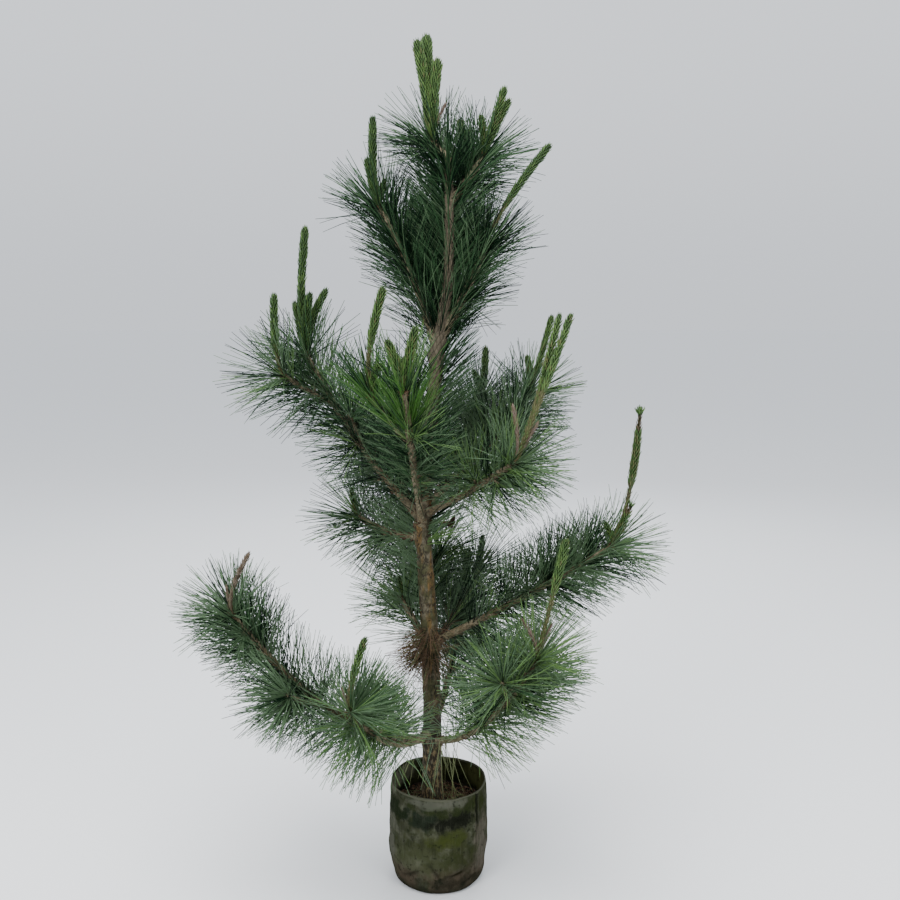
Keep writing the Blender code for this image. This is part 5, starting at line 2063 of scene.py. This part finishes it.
@dataclass(frozen=True)
class Foliage:
    """All living needles, joined by whorl, with the sheaths at their feet."""

    growths: list[Growth]
    candles: Candles
    blades: BladeTree
    rule: NeedleRule = NeedleRule()

    WHORLS = {"low": "low", "middle": "middle", "upper": "upper", "crown": "crown",
              "top": "crown", "trunk": "crown", "leader": "crown"}
    NO_MASS = -2

    def obstacles(self) -> Obstacles:
        """The trunk, the boughs and the new shoots, as bars that needles keep off."""
        bars = Obstacles()
        places = [Vector((x, y, z)) for z, x, y, _ in TRUNK_LINE.marks]
        bars.add_line(places, [mark[3] for mark in TRUNK_LINE.marks], len(BOUGHS))
        for number, bough in enumerate(BOUGHS):
            radii = [bough.girth] * 4 + [GrowthRule.tip_radius] * 5
            bars.add_line(bow(bough.curve(), 8), radii, number)
        for _, points, radii in self.candles.all_shoots():
            bars.add_line(points, [radius * 1.2 for radius in radii], self.NO_MASS, 6)
        return bars

    def openings(self) -> Openings:
        """The trunk in two places and the boughs, which show through their needles."""
        shown = Openings(Vector(Studio.camera_place))
        for low, high, gone in ((0.480, 0.730, 0.60), (1.100, 1.420, 0.86)):
            for across in (-0.005, 0.005):
                aside = Vector((across, 0.0, 0.0))
                shown.add_line([point + aside for point in TRUNK_LINE.stretch(low, high, 8)], gone)
        for bough in BOUGHS:
            if "back" not in bough.name and (bough.inner or not bough.lift):
                reach, gone = (0.80, 0.90) if bough.inner else (1.0, 0.84)
                shown.add_line(bow(bough.curve(), 8, 0.0, reach), gone)
        for growth in self.growths:
            if "back" not in growth.name:
                for shoot, root, along in growth.shoots:
                    points = self.candles.rule.line(shoot, root, along)[0]
                    shown.add_line([point_along(points, share)[0] for share in even(0.0, 1.0, 4)], 0.85)
        return shown

    def build(self) -> None:
        """Plant every mass, drop what would run through a limb, and join by whorl."""
        bars = self.obstacles()
        shown = self.openings()
        sheath_tree = BladeTree("needle sheaths", 3, 1, (0.0,), [NEEDLE_FINISHES[Tone.SHEATH].dress()])
        all_sheaths = Sprigs()
        for whorl in dict.fromkeys(self.WHORLS.values()):
            sprigs, sheaths = Sprigs(), Sprigs()
            names = []
            for number, growth in enumerate(self.growths):
                if self.WHORLS[growth.name.split("_")[0]] == whorl:
                    self.rule.plant(growth, number, sprigs, sheaths)
                    names.append(growth.name)
            kept = bars.free(sprigs, self.rule.length) & shown.free(sprigs, self.rule.length)
            sprigs.keep(kept)
            sheaths.keep(kept.reshape(-1, 2).any(axis=1))
            all_sheaths.rows += sheaths.rows
            made = self.blades.grow(f"needles_{whorl}_whorl", sprigs, *self.rule.sizes)
            hand_over(made, Slot.NEEDLES, names)
        made = sheath_tree.grow("needle_sheaths", all_sheaths, 0.0095, 0.00110, 0.00085, 1.0)
        hand_over(made, Slot.NEEDLES)


@dataclass(frozen=True)
class DeadTuft:
    """A tuft of old needles on the trunk: how many, between which heights, its heading
    and its scatter in degrees, how far the needles rise, how large they are, and how
    often they are dead, old or deep green."""

    count: int
    heights: tuple[float, float]
    heading: float
    scatter: float
    rises: tuple[float, float]
    sizes: tuple[float, float]
    weights: tuple[int, int, int]


@dataclass(frozen=True)
class Remnants:
    """Old bud scales, dead and hanging needles, and two small cones. The cuffs of the
    trunk are a height and a count, the hanging needles a heading and a count."""

    growths: list[Growth]
    blades: BladeTree
    cone_scales: int = 110
    hang_reach: float = 0.080
    hang_heights: tuple[float, float] = (0.285, 0.330)

    SCALE_COLOURS = ((0.066, 0.032, 0.017), (0.032, 0.017, 0.010), (0.125, 0.076, 0.044))
    TRUNK_CUFFS = ((0.512, 90), (0.752, 40))
    TUFTS = (
        DeadTuft(400, (0.455, 0.545), -122.0, 68.0, (-1.5, 0.6), (0.28, 0.55), (8, 1, 3)),
        DeadTuft(190, (0.468, 0.524), -174.0, 36.0, (-0.7, 0.2), (0.34, 0.62), (6, 2, 2)),
    )
    HANGING = ((-160.0, 12), (-40.0, 20), (-110.0, 4), (70.0, 12))

    @staticmethod
    def cuff(sprigs: Sprigs, spot: Vector, along: Vector, radius: float, count: int,
             chooser: random.Random) -> None:
        """Set a ring of old brown bud scales round a limb.

        Args:
            sprigs: Takes the scales.
            spot: Where it sits on the limb's middle line.
            along: The limb's direction there.
            radius: The limb's radius there.
            count: How many scales it has.
            chooser: Gives the draws.
        """
        for place in range(count):
            out = turned(along, math.pi / 2, place * GOLDEN_ANGLE)
            aim = leant(along, out, math.radians(chooser.uniform(25.0, 80.0)))
            foot = spot + out * (radius * 0.8) + along * chooser.uniform(-0.006, 0.006)
            sprigs.add(foot, aim, along, chooser.uniform(0.6, 1.2), chooser.randrange(3))

    def build_bud_scales(self) -> None:
        """Build cuffs of bud scales where masses start and shoots leave, and the cones."""
        chooser = random.Random(60)
        sprigs = Sprigs()
        rule = GrowthRule()
        for bough in BOUGHS:
            curve = bough.curve()
            base = (TRUNK_LINE.radius(bough.height) + 0.004) / bough.reach
            for share, radius, count in ((bough.bare, rule.tip_radius, 34), (base, bough.girth * 1.2, 16)):
                self.cuff(sprigs, bezier(*curve, share), tangent(curve, share), radius, count, chooser)
        for growth in self.growths:
            for _, root, along in growth.shoots:
                self.cuff(sprigs, root, along, rule.stem_tip_radius, 12, chooser)
        for height, count in self.TRUNK_CUFFS:
            self.cuff(sprigs, TRUNK_LINE.at(height), UP, TRUNK_LINE.radius(height) * 1.15, count, chooser)
        for cone in OLD_CONES:
            start, foot = cone.stalk()
            out = ((foot - start).normalized() * 0.4 + UP).normalized()
            for place in range(self.cone_scales):
                share = place / self.cone_scales
                spot = foot + out * (cone.length * (share - 0.45))
                aim = turned(out, math.radians(95.0 - 60.0 * share), place * GOLDEN_ANGLE)
                sprigs.add(spot, aim, out, 1.10 - 0.40 * share, chooser.choice(cone.deals))
        finishes = plain_set("old bud scales", self.SCALE_COLOURS, 0.75, 0.3)
        tree = BladeTree("old bud scales", 4, 3, (0.25, 0.45), finishes)
        hand_over(tree.grow("old_bud_scales", sprigs, 0.0085, 0.0015, 0.0003, 1.6), Slot.BARK)

    def build_old_needles(self) -> None:
        """Build the dead tufts on the trunk and the old needles that hang into the bag."""
        chooser = random.Random(61)
        sprigs = Sprigs()
        rule = NeedleRule()
        for tuft in self.TUFTS:
            for _ in range(tuft.count):
                height = chooser.uniform(*tuft.heights)
                heading = math.radians(chooser.gauss(tuft.heading, tuft.scatter))
                out = polar(1.0, heading, chooser.uniform(*tuft.rises)).normalized()
                level = Vector((out.x, out.y, 0.0)).normalized()
                foot = TRUNK_LINE.at(height) + level * TRUNK_LINE.radius(height)
                tone = chooser.choices((Tone.DEAD, Tone.OLD, Tone.DEEP), tuft.weights)[0]
                sprigs.add(foot, out, -UP + out * 0.5, chooser.uniform(*tuft.sizes), tone.value)
        for heading, count in self.HANGING:
            for _ in range(count):
                out = polar(1.0, math.radians(heading + chooser.uniform(-30.0, 30.0)))
                foot = TRUNK_LINE.at(chooser.uniform(*self.hang_heights))
                foot += out * chooser.uniform(0.020, 0.075)
                aim = out * chooser.uniform(-0.25, 0.50) + out.cross(UP) * chooser.uniform(-0.38, 0.38) - UP
                aim.normalize()
                tone = Tone.OLD if chooser.random() < 0.75 else Tone.BLUE
                size = chooser.uniform(0.55, 1.0)
                end = foot + aim * (rule.length * size)
                if math.hypot(end.x, end.y) < self.hang_reach:
                    sprigs.add(foot, aim, out, size, tone.value)
        hand_over(self.blades.grow("old_needles", sprigs, *rule.sizes), Slot.NEEDLES)

    def build(self) -> None:
        """Build all the remnants."""
        self.build_bud_scales()
        self.build_old_needles()


@dataclass(frozen=True)
class Studio:
    """A pale floor, soft light and the camera at the photograph's viewpoint. A lamp is
    its name, place, size, power and colour."""

    camera_place: Triple = (0.024, -1.90, 1.18)
    camera_pitch: float = -8.2
    lens: float = 38.4
    sensor: float = 36.0
    floor_half: float = 60.0
    aim: Triple = (0.0, 0.0, 0.9)
    horizon: Triple = (0.72, 0.755, 0.81)
    sky: Triple = (0.88, 0.92, 0.98)
    sky_strength: float = 1.25

    LAMPS = (
        ("overhead", (-0.3, -0.8, 4.0), 3.0, 190.0, (1.0, 1.0, 1.0)),
        ("front left", (-2.4, -3.4, 2.6), 2.4, 110.0, (0.98, 0.99, 1.0)),
        ("front right", (2.8, -2.8, 2.0), 2.0, 60.0, (1.0, 0.99, 0.97)),
        ("behind", (0.6, 3.4, 2.8), 2.4, 50.0, (0.95, 0.98, 1.0)),
    )

    def lay_floor(self) -> None:
        """Lay the floor."""
        half = self.floor_half
        corners = [(-half, -half, 0.0), (half, -half, 0.0), (half, half, 0.0), (-half, half, 0.0)]
        mesh = bpy.data.meshes.new("studio_floor")
        mesh.from_pydata(corners, [], [(0, 1, 2, 3)])
        mesh.materials.append(PlainFinish("pale floor", (0.79, 0.80, 0.81), 0.9, 0.2).dress())
        put_in_scene("studio_floor", mesh)

    def hang_lamps(self) -> None:
        """Hang the soft area lamps."""
        for name, place, size, power, colour in self.LAMPS:
            lamp = bpy.data.lights.new(name, "AREA")
            lamp.shape = "DISK"
            lamp.size = size
            lamp.energy = power
            lamp.color = colour
            hung = put_in_scene(name, lamp)
            hung.location = place
            hung.rotation_euler = (Vector(self.aim) - Vector(place)).to_track_quat("-Z", "Y").to_euler()

    def paint_sky(self) -> None:
        """Make the pale world, a little bluer upwards."""
        world = bpy.data.worlds.new("pale studio")
        world.use_nodes = True
        sheet = Sheet(world.node_tree)
        spot = sheet.put("ShaderNodeTexCoord").outputs["Generated"]
        rise = sheet.out(sheet.put("ShaderNodeSeparateXYZ", {0: spot}), "Z")
        backdrop = world.node_tree.nodes["Background"].inputs
        sheet.feed(backdrop["Color"], sheet.tint(sheet.ramp(rise, -0.01, 0.30), self.horizon, self.sky))
        sheet.feed(backdrop["Strength"], self.sky_strength)
        bpy.context.scene.world = world

    def set_camera(self) -> None:
        """Set the camera."""
        lens = bpy.data.cameras.new("photo_camera")
        lens.lens = self.lens
        lens.sensor_width = self.sensor
        lens.clip_end = 200.0
        camera = put_in_scene("photo_camera", lens)
        camera.location = self.camera_place
        camera.rotation_euler = (math.radians(90.0 + self.camera_pitch), 0.0, 0.0)
        bpy.context.scene.camera = camera

    def build(self) -> None:
        """Set up the whole studio."""
        self.lay_floor()
        self.hang_lamps()
        self.paint_sky()
        self.set_camera()


def main() -> None:
    """Build the studio, then the tree from the bag up."""
    logging.basicConfig(level=logging.INFO, format="%(name)s %(message)s")
    noise.seed_set(NOISE_SEED)
    Studio().build()
    rule = GrowthRule()
    growths = [rule.bough(bough, number) for number, bough in enumerate(BOUGHS)]
    growths += [rule.sleeve(), rule.leader()]
    greens = [NEEDLE_FINISHES[tone].dress() for tone in Tone if tone is not Tone.SHEATH]
    blades = BladeTree("needles", 3, 3, (0.02, 0.06, 0.11, 0.17), greens)
    bag = GrowBag()
    bag.build()
    PottingMix(bag).build(blades)
    Wood(growths).build()
    candles = Candles(growths)
    candles.build()
    Foliage(growths, candles, blades).build()
    Remnants(growths, blades).build()


if __name__ == "__main__":
    main()
